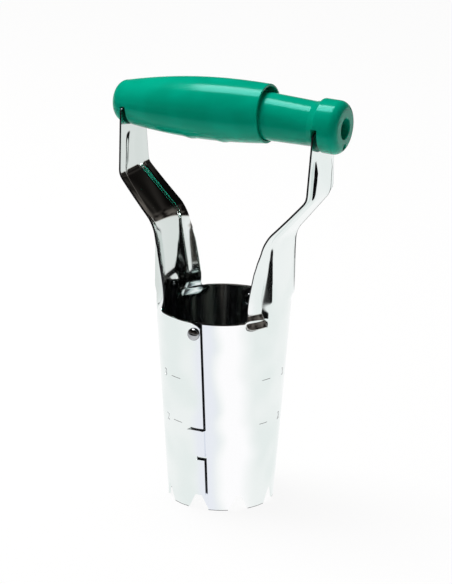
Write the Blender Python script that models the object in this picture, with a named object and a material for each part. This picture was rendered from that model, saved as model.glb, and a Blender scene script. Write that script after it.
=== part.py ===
"""Bulb planter: a toothed coring cylinder in two half shells that turn on two rivets, each with an
arm up to a handle of two sliding pieces. Lengths are in metres and +Z is up. The cylinder stands on
its teeth, its arms spread along X, and the rivets lie on a line along Y."""

import math

import bmesh
import bpy
from mathutils import Vector

# Steel sheet, clearances and the overrun of the cutters
SHEET = 0.0010
LAP_CLEARANCE = 0.0007
FINGER_CLEARANCE = 0.0003
RIVET_CLEARANCE = 0.0003
RIVET_SEAT_GAP = 0.0006
PIN_CLEARANCE = 0.0002
ARM_HOLE_CLEARANCE = 0.0006
CUT_OVERRUN = 0.0010
MERGE_DISTANCE = 0.000001

# Coring cylinder
CYLINDER_HEIGHT = 0.1043
RIM_RADIUS = 0.0350
TIP_RADIUS = 0.0277
TOOTH_COUNT = 8
NOTCH_DEPTH = 0.0080
NOTCH_MOUTH_SHARE = 0.25
NOTCH_APEX_SHARE = 0.06
TOOTH_TRIM = 0.0002
TOOTH_STEP_SHARES = (1 / 3, 2 / 3)
BAND_ABOVE_TEETH = 0.0030
WALL_ROW_SHARES = (0.66, 0.86, 1)

# Lapped seams at the front and the back
LAP_AT_RIM = 0.0034
LAP_AT_TIP = 0.0047
LAP_CORNER_DROP = 0.0026
SEAM_GAP = 0.0008
JOGGLE_RUN = 0.0009
JOGGLE_MARGIN = 0.0030
FLANGE_REACH = 0.0050
FLANGE_CORNER_DROP = 0.0024
SEAM_MIDDLE = 0.0020
FINGER_LOW = 0.0305
FINGER_HIGH = 0.0450
FINGER_SLIT = 0.0009
FINGER_FOOT_SLIT = 0.0022
FINGER_REACH = 0.0052

# Arms, pressed in one piece with the half shells
ARM_SPREAD = 0.0534
ARM_TOP_LEAN = math.radians(2)
LOWER_BEND_RISE = 0.0417
LOWER_BEND_RADIUS = 0.0100
UPPER_BEND_RISE = 0.0247
UPPER_BEND_RADIUS = 0.0066
BEND_STEPS = 4
ARM_TOP_LENGTH = 0.0345
ARM_TIP_CORNER = 0.0020
ROOT_FILLET = 0.0045
ROOT_HALF_WIDTH = 0.0217
LOWER_HALF_WIDTH = 0.0204
UPPER_HALF_WIDTH = 0.0159
TIP_HALF_WIDTH = 0.0128
LOWER_CURL_SHARE = 0.85
FLANGE_SET_IN = 0.0014
FLANGE_SET_IN_RUN = 0.0212

# Rib pressed outward along each arm
RIB_RAMP = 0.0050
RIB_LOWER_RISE = 0.0003
RIB_UPPER_RISE = 0.0020
RIB_LOWER_FOOT = 0.0150
RIB_LOWER_CREST = 0.0132
RIB_UPPER_FOOT = 0.0115
RIB_UPPER_CREST = 0.0080
RIB_TOP_FOOT = 0.0080
RIB_TOP_CREST = 0.0045
RIB_END_BELOW_TIP = 0.0135
RIB_END_RUN = 0.0070

# Pivot rivets
RIVET_BELOW_RIM = 0.0062
RIVET_SHANK_RADIUS = 0.0020
RIVET_HEAD_RADIUS = 0.0033
RIVET_HEAD_HEIGHT = 0.0019
RIVET_CLINCH_RADIUS = 0.0032
RIVET_CLINCH_HEIGHT = 0.0012
RIVET_DIMPLE_RADIUS = 0.0013
RIVET_DIMPLE_DEPTH = 0.0018

# Barrel grip, with stations along its own axis from the left arm
GRIP_TILT = math.radians(2.4)
GRIP_PIVOT_BELOW_TIP = 0.0066
GRIP_AXIS_ABOVE_TIP = 0.0009
GRIP_LEFT_REACH = 0.0080
GRIP_MOUTH_STATION = 0.0781
GRIP_BELLY_STATION = 0.0512
GRIP_BELLY_RADIUS = 0.0162
GRIP_LEFT_ARC_RADIUS = 0.2820
GRIP_MOUTH_ARC_RADIUS = 0.3450
GRIP_FACE_RADIUS = 0.0045
GRIP_END_ROUNDING = 0.0055
GRIP_MOUTH_ROUNDING = 0.0004
GRIP_BORE_RADIUS = 0.01405
GRIP_BORE_END_STATION = 0.0313
GRIP_SPRING_BORE_RADIUS = 0.0100
GRIP_SPRING_SEAT_STATION = 0.0087
GRIP_ARC_STEPS = 6

# Slots that take the tips of the arms
SLOT_SNUG_SIDE = 0.0011
GRIP_SLOT_INNER_SIDE = 0.0018
GRIP_SLOT_HEADROOM = 0.0005
CAP_SLOT_OUTER_SIDE = 0.0023
CAP_SLOT_HEADROOM = 0.0028

# Push tube and thumb cap, with stations along their own axis from the right arm
TUBE_TILT = math.radians(1.5)
TUBE_PIVOT_BELOW_TIP = 0.0076
TUBE_AXIS_ABOVE_GRIP_AXIS = 0.0011
TUBE_INNER_STATION = -0.0591
TUBE_TAPER_STATION = -0.0282
TUBE_INNER_RADIUS = 0.0122
TUBE_OUTER_RADIUS = 0.0115
TUBE_EDGE_BREAK = 0.0006
TUBE_WALL = 0.0018
SPRING_EYE_RADIUS = 0.0050
COLLAR_STATION = -0.0042
COLLAR_RADIUS = 0.0118
CAP_STATION = -0.0014
CAP_RADIUS = 0.0138
CAP_REACH = 0.0121
CAP_ROUNDING = 0.0048
CAP_BACK_ROUNDING = 0.0014
CAP_HOLE_RADIUS = 0.0053
CAP_PLUG_STATION = -0.0062

# Pins through the tips of the arms
PIN_RADIUS = 0.0015
PIN_EDGE_BREAK = 0.0003
PIN_RECESS = 0.0010
GRIP_PIN_RIGHT = 0.0062
CAP_PIN_LEFT = 0.0034

# Return spring in the grip
SPRING_RADIUS = 0.0075
SPRING_WIRE = 0.0015
SPRING_TURNS = 8
SPRING_TURN_STEPS = 12
SPRING_END_GAP = 0.0004

# Facets of the turned pieces
TURN_STEPS = 40
SMALL_TURN_STEPS = 20
ROUNDING_STEPS = 4
SMOOTH_ANGLE = math.radians(35)

# Worked out from the sizes above
PITCH = math.tau / TOOTH_COUNT
APEX_ANGLE = NOTCH_APEX_SHARE * PITCH
MOUTH_ANGLE = NOTCH_MOUTH_SHARE * PITCH
LAP_STEP = SHEET + LAP_CLEARANCE
RIVET_HEIGHT = CYLINDER_HEIGHT - RIVET_BELOW_RIM
LOWER_BEND_HEIGHT = CYLINDER_HEIGHT + LOWER_BEND_RISE
UPPER_BEND_HEIGHT = LOWER_BEND_HEIGHT + UPPER_BEND_RISE
ARM_TIP_HEIGHT = UPPER_BEND_HEIGHT + ARM_TOP_LENGTH
RIB_FADE_HIGH = ARM_TIP_HEIGHT - RIB_END_BELOW_TIP
RIB_FADE_LOW = RIB_FADE_HIGH - RIB_END_RUN
GRIP_PIVOT_HEIGHT = ARM_TIP_HEIGHT - GRIP_PIVOT_BELOW_TIP
GRIP_PIN_DEPTH = GRIP_PIVOT_BELOW_TIP + GRIP_AXIS_ABOVE_TIP
GRIP_PIN_LEFT = GRIP_LEFT_REACH - PIN_RECESS
TUBE_PIVOT_HEIGHT = ARM_TIP_HEIGHT - TUBE_PIVOT_BELOW_TIP
TUBE_PIN_DEPTH = TUBE_PIVOT_BELOW_TIP + GRIP_AXIS_ABOVE_TIP + TUBE_AXIS_ABOVE_GRIP_AXIS
CAP_PIN_RIGHT = CAP_REACH - PIN_RECESS
FRONT, BACK = -1, 1
LEFT, RIGHT = -1, 1


def material(name, colour, metallic, roughness):
    made = bpy.data.materials.new(name)
    made.use_nodes = True
    shader = made.node_tree.nodes["Principled BSDF"]
    shader.inputs["Base Color"].default_value = (*colour, 1)
    shader.inputs["Metallic"].default_value = metallic
    shader.inputs["Roughness"].default_value = roughness
    return made


def link(name, data, parent):
    made = bpy.data.objects.new(name, data)
    bpy.context.scene.collection.objects.link(made)
    made.parent = parent
    return made


def mesh_object(name, bm, finish, parent):
    """Makes an object of the bmesh, shaded smooth up to its sharp edges."""
    mesh = bpy.data.meshes.new(name)
    bm.to_mesh(mesh)
    bm.free()
    mesh.shade_smooth()
    mesh.set_sharp_from_angle(angle=SMOOTH_ANGLE)
    if finish:
        mesh.materials.append(finish)
    return link(name, mesh, parent)


def cut(body, cutter):
    """Takes the cutter's shape out of the body."""
    cutter.hide_render = True
    cutter.display_type = "WIRE"
    boolean = body.modifiers.new("cut by " + cutter.name, "BOOLEAN")
    boolean.operation = "DIFFERENCE"
    boolean.object = cutter


def between(x, table):
    """Straight-line value at x, from (x, value) pairs in rising order."""
    if x <= table[0][0]:
        return table[0][1]
    for (x0, v0), (x1, v1) in zip(table, table[1:]):
        if x <= x1:
            return v0 + (v1 - v0) * (x - x0) / (x1 - x0)
    return table[-1][1]


def turned(name, profile, axis, steps, finish, parent):
    """A closed body turned about its own X or Y axis, from (station, radius) points. The profile
    starts and ends on the axis, or is a loop clear of it."""
    bm = bmesh.new()
    verts = [bm.verts.new(axis * station + Vector((0, 0, radius))) for station, radius in profile]
    edges = [bm.edges.new(pair) for pair in zip(verts, verts[1:])]
    if profile[0][1] > 0:
        edges.append(bm.edges.new((verts[-1], verts[0])))
    bmesh.ops.spin(
        bm, geom=verts + edges, axis=axis, cent=(0, 0, 0), angle=math.tau, steps=steps,
        use_merge=True,
    )
    bmesh.ops.remove_doubles(bm, verts=bm.verts, dist=MERGE_DISTANCE)
    bmesh.ops.recalc_face_normals(bm, faces=bm.faces)
    return mesh_object(name, bm, finish, parent)


def block(name, low, high, parent):
    """A plain box between two corners, for a cutter."""
    bm = bmesh.new()
    bmesh.ops.create_cube(bm, size=1)
    for vert in bm.verts:
        corner = [b if c > 0 else a for c, a, b in zip(vert.co, low, high)]
        vert.co = Vector(corner)
    return mesh_object(name, bm, None, parent)


def rod(name, start, end, radius, axis, parent):
    """A plain round bar along an axis, for a cutter."""
    profile = [(start, 0), (start, radius), (end, radius), (end, 0)]
    return turned(name, profile, axis, SMALL_TURN_STEPS, None, parent)


def rounded(centre, run, rise, start, end):
    """Points of an elliptical rounding about a centre, from one angle to another. Angle 0 points
    along the stations, and a quarter turn points away from the axis."""
    points = []
    for step in range(ROUNDING_STEPS + 1):
        angle = start + (end - start) * step / ROUNDING_STEPS
        points.append((centre[0] + run * math.cos(angle), centre[1] + rise * math.sin(angle)))
    return points


# Half shells


def cone_radius(z):
    return TIP_RADIUS + (RIM_RADIUS - TIP_RADIUS) * z / CYLINDER_HEIGHT


def lap_reach(z):
    """How far the outer lap reaches past the middle plane at a height."""
    return LAP_AT_TIP + (LAP_AT_RIM - LAP_AT_TIP) * z / CYLINDER_HEIGHT


def tooth_edge(angle):
    """Height of the toothed edge at an angle from the arm, where a notch is centred. The tips
    start a little low and are ground flat at height 0."""
    off = abs((angle + PITCH / 2) % PITCH - PITCH / 2)
    share = (off - APEX_ANGLE) / (MOUTH_ANGLE - APEX_ANGLE)
    return between(share, ((0, NOTCH_DEPTH), (1, -TOOTH_TRIM)))


def along(lean):
    """Direction up an arm that leans outwards from upright."""
    return Vector((math.sin(lean), 0, math.cos(lean)))


def outward(lean):
    return Vector((math.cos(lean), 0, -math.sin(lean)))


def bend(corner, lean_in, lean_out, radius):
    """(point, lean) stations round a bend between two straight stretches that meet at a corner."""
    turn = math.copysign(radius, lean_out - lean_in)
    tangent = radius * math.tan(abs(lean_out - lean_in) / 2)
    start = corner - along(lean_in) * tangent
    centre = start + outward(lean_in) * turn
    leans = [lean_in + (lean_out - lean_in) * i / BEND_STEPS for i in range(BEND_STEPS + 1)]
    return [(centre - outward(lean) * turn, lean) for lean in leans]


def arm_top(z):
    """Outer face of the arm's straight top at a height."""
    return Vector((ARM_SPREAD + (z - UPPER_BEND_HEIGHT) * math.tan(ARM_TOP_LEAN), 0, z))


def arm_middle(z):
    """Distance from the middle plane to the middle of the arm's sheet at a height."""
    return arm_top(z).x - SHEET / 2


def arm_path():
    """(point, lean) stations of the arm's outer face, from the rim to the tip."""
    slant = math.atan2(ARM_SPREAD - RIM_RADIUS, UPPER_BEND_HEIGHT - LOWER_BEND_HEIGHT)
    root = CYLINDER_HEIGHT + ROOT_FILLET
    stations = [(Vector((RIM_RADIUS, 0, z)), 0) for z in (root, root + RIB_RAMP)]
    stations += bend(Vector((RIM_RADIUS, 0, LOWER_BEND_HEIGHT)), 0, slant, LOWER_BEND_RADIUS)
    stations += bend(arm_top(UPPER_BEND_HEIGHT), slant, ARM_TOP_LEAN, UPPER_BEND_RADIUS)
    for z in (RIB_FADE_LOW, RIB_FADE_HIGH, ARM_TIP_HEIGHT - ARM_TIP_CORNER, ARM_TIP_HEIGHT):
        stations.append((arm_top(z), ARM_TOP_LEAN))
    return stations


def arm_half_width(z):
    width = between(z, (
        (CYLINDER_HEIGHT, ROOT_HALF_WIDTH),
        (LOWER_BEND_HEIGHT, LOWER_HALF_WIDTH),
        (UPPER_BEND_HEIGHT, UPPER_HALF_WIDTH),
        (ARM_TIP_HEIGHT, TIP_HALF_WIDTH),
    ))
    corner = between(z, ((ARM_TIP_HEIGHT - ARM_TIP_CORNER, 0), (ARM_TIP_HEIGHT, ARM_TIP_CORNER)))
    return width - corner


def lateral_places(z):
    """Distances of the arm's columns from its middle: the rib's crest, its foot, the edge."""
    foot = between(z, (
        (LOWER_BEND_HEIGHT, RIB_LOWER_FOOT),
        (UPPER_BEND_HEIGHT, RIB_UPPER_FOOT),
        (RIB_FADE_HIGH, RIB_TOP_FOOT),
    ))
    crest = between(z, (
        (LOWER_BEND_HEIGHT, RIB_LOWER_CREST),
        (UPPER_BEND_HEIGHT, RIB_UPPER_CREST),
        (RIB_FADE_HIGH, RIB_TOP_CREST),
    ))
    edge = arm_half_width(z)
    return (0, crest / 2, crest, foot, (foot + edge) / 2, edge)


ARM_COLUMNS = len(lateral_places(CYLINDER_HEIGHT))
CREST_COLUMN = 2


def arm_point(station, column):
    """Point of the arm's outer face, for a column counted from the middle, + towards +Y."""
    place, lean = station
    y = lateral_places(place.z)[abs(column)]
    curl = between(place.z, (
        (CYLINDER_HEIGHT, 1),
        (LOWER_BEND_HEIGHT, LOWER_CURL_SHARE),
        (UPPER_BEND_HEIGHT, 0),
    ))
    offset = -curl * (RIM_RADIUS - math.sqrt(RIM_RADIUS ** 2 - y ** 2))
    root = CYLINDER_HEIGHT + ROOT_FILLET
    pressed = between(place.z, (
        (root, 0), (root + RIB_RAMP, 1), (RIB_FADE_LOW, 1), (RIB_FADE_HIGH, 0),
    ))
    rise = between(place.z, (
        (LOWER_BEND_HEIGHT, RIB_LOWER_RISE), (UPPER_BEND_HEIGHT, RIB_UPPER_RISE),
    ))
    if abs(column) <= CREST_COLUMN:
        offset += (rise - offset) * pressed
    else:
        offset -= between(place.z, ((root, FLANGE_SET_IN), (root + FLANGE_SET_IN_RUN, 0)))
    return place + outward(lean) * offset + Vector((0, math.copysign(y, column), 0))


def tip_angles():
    """Angles from the arm of the wall's columns at the teeth, as far as the joggle of the seam."""
    steps = [MOUTH_ANGLE + (PITCH - 2 * MOUTH_ANGLE) * share for share in TOOTH_STEP_SHARES]
    first = [0, APEX_ANGLE, MOUTH_ANGLE] + steps + [PITCH - MOUTH_ANGLE, PITCH - APEX_ANGLE]
    return first + [PITCH + APEX_ANGLE, PITCH + MOUTH_ANGLE] + [PITCH + step for step in steps]


def rim_angles(count):
    """Angles of the same columns at the rim: those of the arm, its fillet, and even steps."""
    angles = [math.asin(y / RIM_RADIUS) for y in lateral_places(CYLINDER_HEIGHT)]
    fillet = angles[-1] + ROOT_FILLET / RIM_RADIUS
    seam = lap_reach(CYLINDER_HEIGHT) + SEAM_GAP + JOGGLE_MARGIN
    last = math.acos(seam / RIM_RADIUS)
    rest = count - len(angles) - 1
    return angles + [fillet + (last - fillet) * i / rest for i in range(rest + 1)]


def wall_point(angle, z, side):
    """Point of the outer wall at an angle from the arm, towards the front or the back."""
    radius = cone_radius(z)
    return Vector((radius * math.cos(angle), side * radius * math.sin(angle), z))


def point_at_reach(x, z, side, inset):
    """Wall point at a distance x from the middle plane, set inwards by inset."""
    radius = cone_radius(z) - inset
    return Vector((x, side * math.sqrt(radius ** 2 - x ** 2), z))


def wall_rows():
    """Heights of the wall's rows above the toothed edge, up to the rim."""
    rows = [NOTCH_DEPTH + BAND_ABOVE_TEETH]
    rows += [FINGER_LOW - FINGER_FOOT_SLIT, FINGER_LOW, FINGER_HIGH, FINGER_HIGH + FINGER_SLIT]
    return rows + [CYLINDER_HEIGHT * share for share in WALL_ROW_SHARES]


def lap_columns():
    """(reach at the tip, reach at the rim, inset, tooth edge, drop at the rim) of each column of
    the outer lap, from the last tooth's corner to the lap's edge."""
    corner = TIP_RADIUS * math.sin(MOUTH_ANGLE)
    apex = TIP_RADIUS * math.sin(APEX_ANGLE)
    return [
        (corner, corner, 0, -TOOTH_TRIM, 0),
        (apex, apex, 0, NOTCH_DEPTH, 0),
        (-SEAM_MIDDLE, -SEAM_MIDDLE, 0, NOTCH_DEPTH, LAP_CORNER_DROP / 2),
        (-LAP_AT_TIP, -LAP_AT_RIM, 0, NOTCH_DEPTH, LAP_CORNER_DROP),
    ]


def flange_columns():
    """The same for the inner flange, which starts with the joggle behind the lap's edge."""
    start_tip, start_rim = LAP_AT_TIP + SEAM_GAP, LAP_AT_RIM + SEAM_GAP
    apex = TIP_RADIUS * math.sin(APEX_ANGLE)
    return [
        (start_tip + JOGGLE_RUN, start_rim + JOGGLE_RUN, 0, -TOOTH_TRIM, 0),
        (start_tip, start_rim, LAP_STEP, -TOOTH_TRIM, 0),
        (apex, apex, LAP_STEP, NOTCH_DEPTH, 0),
        (-SEAM_MIDDLE, -SEAM_MIDDLE, LAP_STEP, NOTCH_DEPTH, FLANGE_CORNER_DROP / 2),
        (-FLANGE_REACH, -FLANGE_REACH, LAP_STEP, NOTCH_DEPTH, FLANGE_CORNER_DROP),
    ]


def finger_point(order, z, side):
    """Point of the finger, a straight tab that stands over the other half's lap. order counts the
    flange's columns."""
    reaches = (0, lap_reach(z) + SEAM_GAP, SEAM_MIDDLE, -SEAM_MIDDLE, -FINGER_REACH)
    return Vector((reaches[order], side * (cone_radius(z) + FINGER_CLEARANCE + SHEET), z))


def seam_points(order, column, side, has_finger):
    """Points of one seam column, from the toothed edge to the rim."""
    tip, rim, inset, edge, drop = column
    points = []
    for z in [edge] + wall_rows():
        if has_finger and order and FINGER_LOW <= z <= FINGER_HIGH:
            points.append(finger_point(order, z, side))
            continue
        reach = tip + (rim - tip) * z / CYLINDER_HEIGHT
        top = drop if z == CYLINDER_HEIGHT else 0
        points.append(point_at_reach(reach, z - top, side, inset))
    return points


def wall_columns(bm, side, seam, has_finger, middle):
    """Vertices of the wall's columns from the arm's middle to one seam, each from the toothed
    edge to the rim. middle is the first column if it is made already."""
    tips = tip_angles()
    columns = []
    for tip, rim in zip(tips, rim_angles(len(tips))):
        points = [wall_point(tip, tooth_edge(tip), side)]
        points += [
            wall_point(tip + (rim - tip) * z / CYLINDER_HEIGHT, z, side) for z in wall_rows()
        ]
        columns.append(points)
    columns += [seam_points(i, column, side, has_finger) for i, column in enumerate(seam)]
    made = [middle] if middle else []
    for points in columns[len(made):]:
        made.append([bm.verts.new(point) for point in points])
    return made


def add_face(bm, verts, side):
    """A face that looks outwards on either side of the arm."""
    bm.faces.new(verts if side == BACK else tuple(reversed(verts)))


def add_wall(bm, columns, side, has_finger):
    """Fills the wall between its columns, leaving the slits of the finger open."""
    rows = wall_rows()
    joggle = len(tip_angles())
    slits = (rows.index(FINGER_LOW), rows.index(FINGER_HIGH) + 1) if has_finger else ()
    for i, (a, b) in enumerate(zip(columns, columns[1:])):
        for j in range(len(rows)):
            if i >= joggle and j in slits:
                continue
            add_face(bm, (a[j], b[j], b[j + 1], a[j + 1]), side)


def add_arm(bm, walls):
    """Adds the arm above the rim, with a fillet where its edges leave the rim."""
    last = ARM_COLUMNS - 1
    below = {side * c: walls[side][c][-1] for side in walls for c in range(ARM_COLUMNS)}
    rim = below
    for n, station in enumerate(arm_path()):
        above = {c: bm.verts.new(arm_point(station, c)) for c in rim}
        for c in range(-last, last):
            bm.faces.new((below[c], below[c + 1], above[c + 1], above[c]))
        if n == 0:
            for side in walls:
                corner = walls[side][ARM_COLUMNS][-1]
                add_fillet(bm, rim[side * last], corner, above[side * last], side)
        below = above


def add_fillet(bm, edge, corner, above, side):
    """The rounded web in the corner between the rim and the arm's edge."""
    cut_in = ROOT_FILLET * (1 - math.sqrt(1 / 2))
    angle = math.asin(ROOT_HALF_WIDTH / RIM_RADIUS) + cut_in / RIM_RADIUS
    middle = wall_point(angle, CYLINDER_HEIGHT, side)
    middle.z += cut_in
    middle = bm.verts.new(middle)
    add_face(bm, (edge, corner, middle), side)
    add_face(bm, (edge, middle, above), side)


def half_shell(name, hand, seam, has_finger, finish, parent):
    """One stamping: half of the cylinder with its arm. hand is LEFT or RIGHT."""
    bm = bmesh.new()
    walls = {BACK: wall_columns(bm, BACK, seam, has_finger, None)}
    walls[FRONT] = wall_columns(bm, FRONT, seam, has_finger, walls[BACK][0])
    for side in walls:
        add_wall(bm, walls[side], side, has_finger)
    add_arm(bm, walls)
    if hand == LEFT:
        bmesh.ops.scale(bm, vec=(-1, 1, 1), verts=bm.verts)
        bmesh.ops.reverse_faces(bm, faces=bm.faces)
    shell = mesh_object(name, bm, finish, parent)
    wall = shell.modifiers.new("sheet thickness", "SOLIDIFY")
    wall.thickness = SHEET
    wall.offset = -1
    wall.use_even_offset = True
    return shell


def half_shells(finish, parent):
    left = half_shell("left_half_shell", LEFT, lap_columns(), False, finish, parent)
    right = half_shell("right_half_shell", RIGHT, flange_columns(), True, finish, parent)
    reach = RIM_RADIUS + CUT_OVERRUN
    bores = rod("rivet_bore_cutter", -reach, reach, RIVET_SHANK_RADIUS + RIVET_CLEARANCE,
                Vector((0, 1, 0)), parent)
    bores.location = (0, 0, RIVET_HEIGHT)
    grinder = block("tooth_grinding_cutter", (-reach, -reach, -CUT_OVERRUN), (reach, reach, 0), parent)
    for shell, hand, height in ((left, LEFT, GRIP_PIVOT_HEIGHT), (right, RIGHT, TUBE_PIVOT_HEIGHT)):
        cut(shell, grinder)
        cut(shell, bores)
        hole = rod(shell.name + "_pin_cutter", -SHEET - CUT_OVERRUN, SHEET + CUT_OVERRUN,
                   PIN_RADIUS + ARM_HOLE_CLEARANCE, Vector((1, 0, 0)), parent)
        hole.location = (hand * arm_middle(height), 0, height)
        cut(shell, hole)


# Rivets


def rivet(name, side, finish, parent):
    """A rivet with a domed head outside and a hollow clinch inside."""
    wall = cone_radius(RIVET_HEIGHT)
    seat = wall + RIVET_SEAT_GAP
    inner = wall - LAP_STEP - SHEET - RIVET_SEAT_GAP
    end = inner - RIVET_CLINCH_HEIGHT
    profile = [(end + RIVET_DIMPLE_DEPTH, 0), (end + RIVET_DIMPLE_DEPTH, RIVET_DIMPLE_RADIUS / 2)]
    profile += [(end, RIVET_DIMPLE_RADIUS)]
    lip = (RIVET_CLINCH_RADIUS + RIVET_DIMPLE_RADIUS) / 2
    run = RIVET_CLINCH_RADIUS - lip
    profile += rounded((end + run, lip), run, run, math.pi, math.pi / 2)
    profile += [(inner, RIVET_CLINCH_RADIUS), (inner, RIVET_SHANK_RADIUS)]
    profile += [(seat, RIVET_SHANK_RADIUS)]
    dome = rounded((seat, 0), RIVET_HEAD_HEIGHT, RIVET_HEAD_RADIUS, math.pi / 2, 0)
    profile += dome[:-1] + [(seat + RIVET_HEAD_HEIGHT, 0)]
    outwards = [(side * station, radius) for station, radius in profile]
    made = turned(name, outwards, Vector((0, 1, 0)), SMALL_TURN_STEPS, finish, parent)
    made.location = (0, 0, RIVET_HEIGHT)
    return made


# Handle


def grip_radius(station):
    """Outer radius of the barrel, which swells in two arcs to its belly."""
    off = station - GRIP_BELLY_STATION
    arc = GRIP_LEFT_ARC_RADIUS if off < 0 else GRIP_MOUTH_ARC_RADIUS
    return GRIP_BELLY_RADIUS - off ** 2 / (2 * arc)


def grip_profile():
    """Outline of the barrel, out along its skin and back along its stepped bore."""
    shoulder = GRIP_END_ROUNDING - GRIP_LEFT_REACH
    rise = grip_radius(shoulder) - GRIP_FACE_RADIUS
    profile = [(-GRIP_LEFT_REACH, 0)]
    profile += rounded((shoulder, GRIP_FACE_RADIUS), GRIP_END_ROUNDING, rise, math.pi, math.pi / 2)
    lip = GRIP_MOUTH_STATION - GRIP_MOUTH_ROUNDING
    for start, end in ((shoulder, GRIP_BELLY_STATION), (GRIP_BELLY_STATION, lip)):
        for step in range(1, GRIP_ARC_STEPS + 1):
            station = start + (end - start) * step / GRIP_ARC_STEPS
            profile.append((station, grip_radius(station)))
    profile += [
        (GRIP_MOUTH_STATION, grip_radius(lip) - GRIP_MOUTH_ROUNDING),
        (GRIP_MOUTH_STATION, GRIP_BORE_RADIUS),
        (GRIP_BORE_END_STATION, GRIP_BORE_RADIUS),
        (GRIP_BORE_END_STATION, GRIP_SPRING_BORE_RADIUS),
        (GRIP_SPRING_SEAT_STATION, GRIP_SPRING_BORE_RADIUS),
        (GRIP_SPRING_SEAT_STATION, 0),
    ]
    return profile


def tube_profile():
    """Outline of the push tube with its collar and thumb cap, as a loop round the hollow wall."""
    taper_bore = TUBE_INNER_RADIUS - TUBE_WALL
    profile = [
        (TUBE_INNER_STATION, SPRING_EYE_RADIUS),
        (TUBE_INNER_STATION, TUBE_INNER_RADIUS - TUBE_EDGE_BREAK),
        (TUBE_INNER_STATION + TUBE_EDGE_BREAK, TUBE_INNER_RADIUS),
        (TUBE_TAPER_STATION, TUBE_INNER_RADIUS),
        (COLLAR_STATION, TUBE_OUTER_RADIUS),
        (COLLAR_STATION, COLLAR_RADIUS),
        (CAP_STATION, COLLAR_RADIUS),
    ]
    back = (CAP_STATION + CAP_BACK_ROUNDING, CAP_RADIUS - CAP_BACK_ROUNDING)
    profile += rounded(back, CAP_BACK_ROUNDING, CAP_BACK_ROUNDING, math.pi, math.pi / 2)
    front = (CAP_REACH - CAP_ROUNDING, CAP_RADIUS - CAP_ROUNDING)
    profile += rounded(front, CAP_ROUNDING, CAP_ROUNDING, math.pi / 2, 0)
    profile += [
        (CAP_REACH, CAP_HOLE_RADIUS),
        (CAP_PLUG_STATION, CAP_HOLE_RADIUS),
        (CAP_PLUG_STATION, TUBE_OUTER_RADIUS - TUBE_WALL),
        (TUBE_TAPER_STATION, taper_bore),
        (TUBE_INNER_STATION + TUBE_WALL, taper_bore),
        (TUBE_INNER_STATION + TUBE_WALL, SPRING_EYE_RADIUS),
    ]
    return profile


def handle_piece(name, profile, pin_depth, finish, pivot):
    """A turned piece whose axis lies pin_depth above the pivot that it hangs on."""
    piece = turned(name, profile, Vector((1, 0, 0)), TURN_STEPS, finish, pivot)
    for vert in piece.data.vertices:
        vert.co.z += pin_depth
    return piece


def cut_slot(piece, right_side, top, radius, pin_depth):
    """Cuts the slot for the arm's tip from below, right across the piece, up to a top above the
    pivot."""
    side = radius + CUT_OVERRUN
    low = (-SLOT_SNUG_SIDE, -side, pin_depth - side)
    slot = block(piece.name + "_slot_cutter", low, (right_side, side, top), piece.parent)
    cut(piece, slot)


def cut_pin_hole(piece, start, end):
    hole = rod(piece.name + "_pin_cutter", start, end, PIN_RADIUS + PIN_CLEARANCE,
               Vector((1, 0, 0)), piece.parent)
    cut(piece, hole)


def pin(name, left, right, finish, pivot):
    """A plain pin along the handle's axis, with broken edges."""
    profile = [
        (-left, 0), (-left, PIN_RADIUS - PIN_EDGE_BREAK), (PIN_EDGE_BREAK - left, PIN_RADIUS),
        (right - PIN_EDGE_BREAK, PIN_RADIUS), (right, PIN_RADIUS - PIN_EDGE_BREAK), (right, 0),
    ]
    return turned(name, profile, Vector((1, 0, 0)), SMALL_TURN_STEPS, finish, pivot)


def spring(finish, pivot, start, end):
    """The return spring, one unbroken coil of wire along the barrel's axis."""
    curve = bpy.data.curves.new("return_spring", "CURVE")
    curve.dimensions = "3D"
    curve.bevel_depth = SPRING_WIRE / 2
    curve.bevel_resolution = 1
    curve.use_fill_caps = True
    steps = SPRING_TURNS * SPRING_TURN_STEPS
    line = curve.splines.new("POLY")
    line.points.add(steps)
    for i, point in enumerate(line.points):
        angle = math.tau * i / SPRING_TURN_STEPS
        y, z = SPRING_RADIUS * math.sin(angle), SPRING_RADIUS * math.cos(angle)
        point.co = (start + (end - start) * i / steps, y, GRIP_PIN_DEPTH + z, 1)
    curve.materials.append(finish)
    return link("return_spring", curve, pivot)


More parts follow.
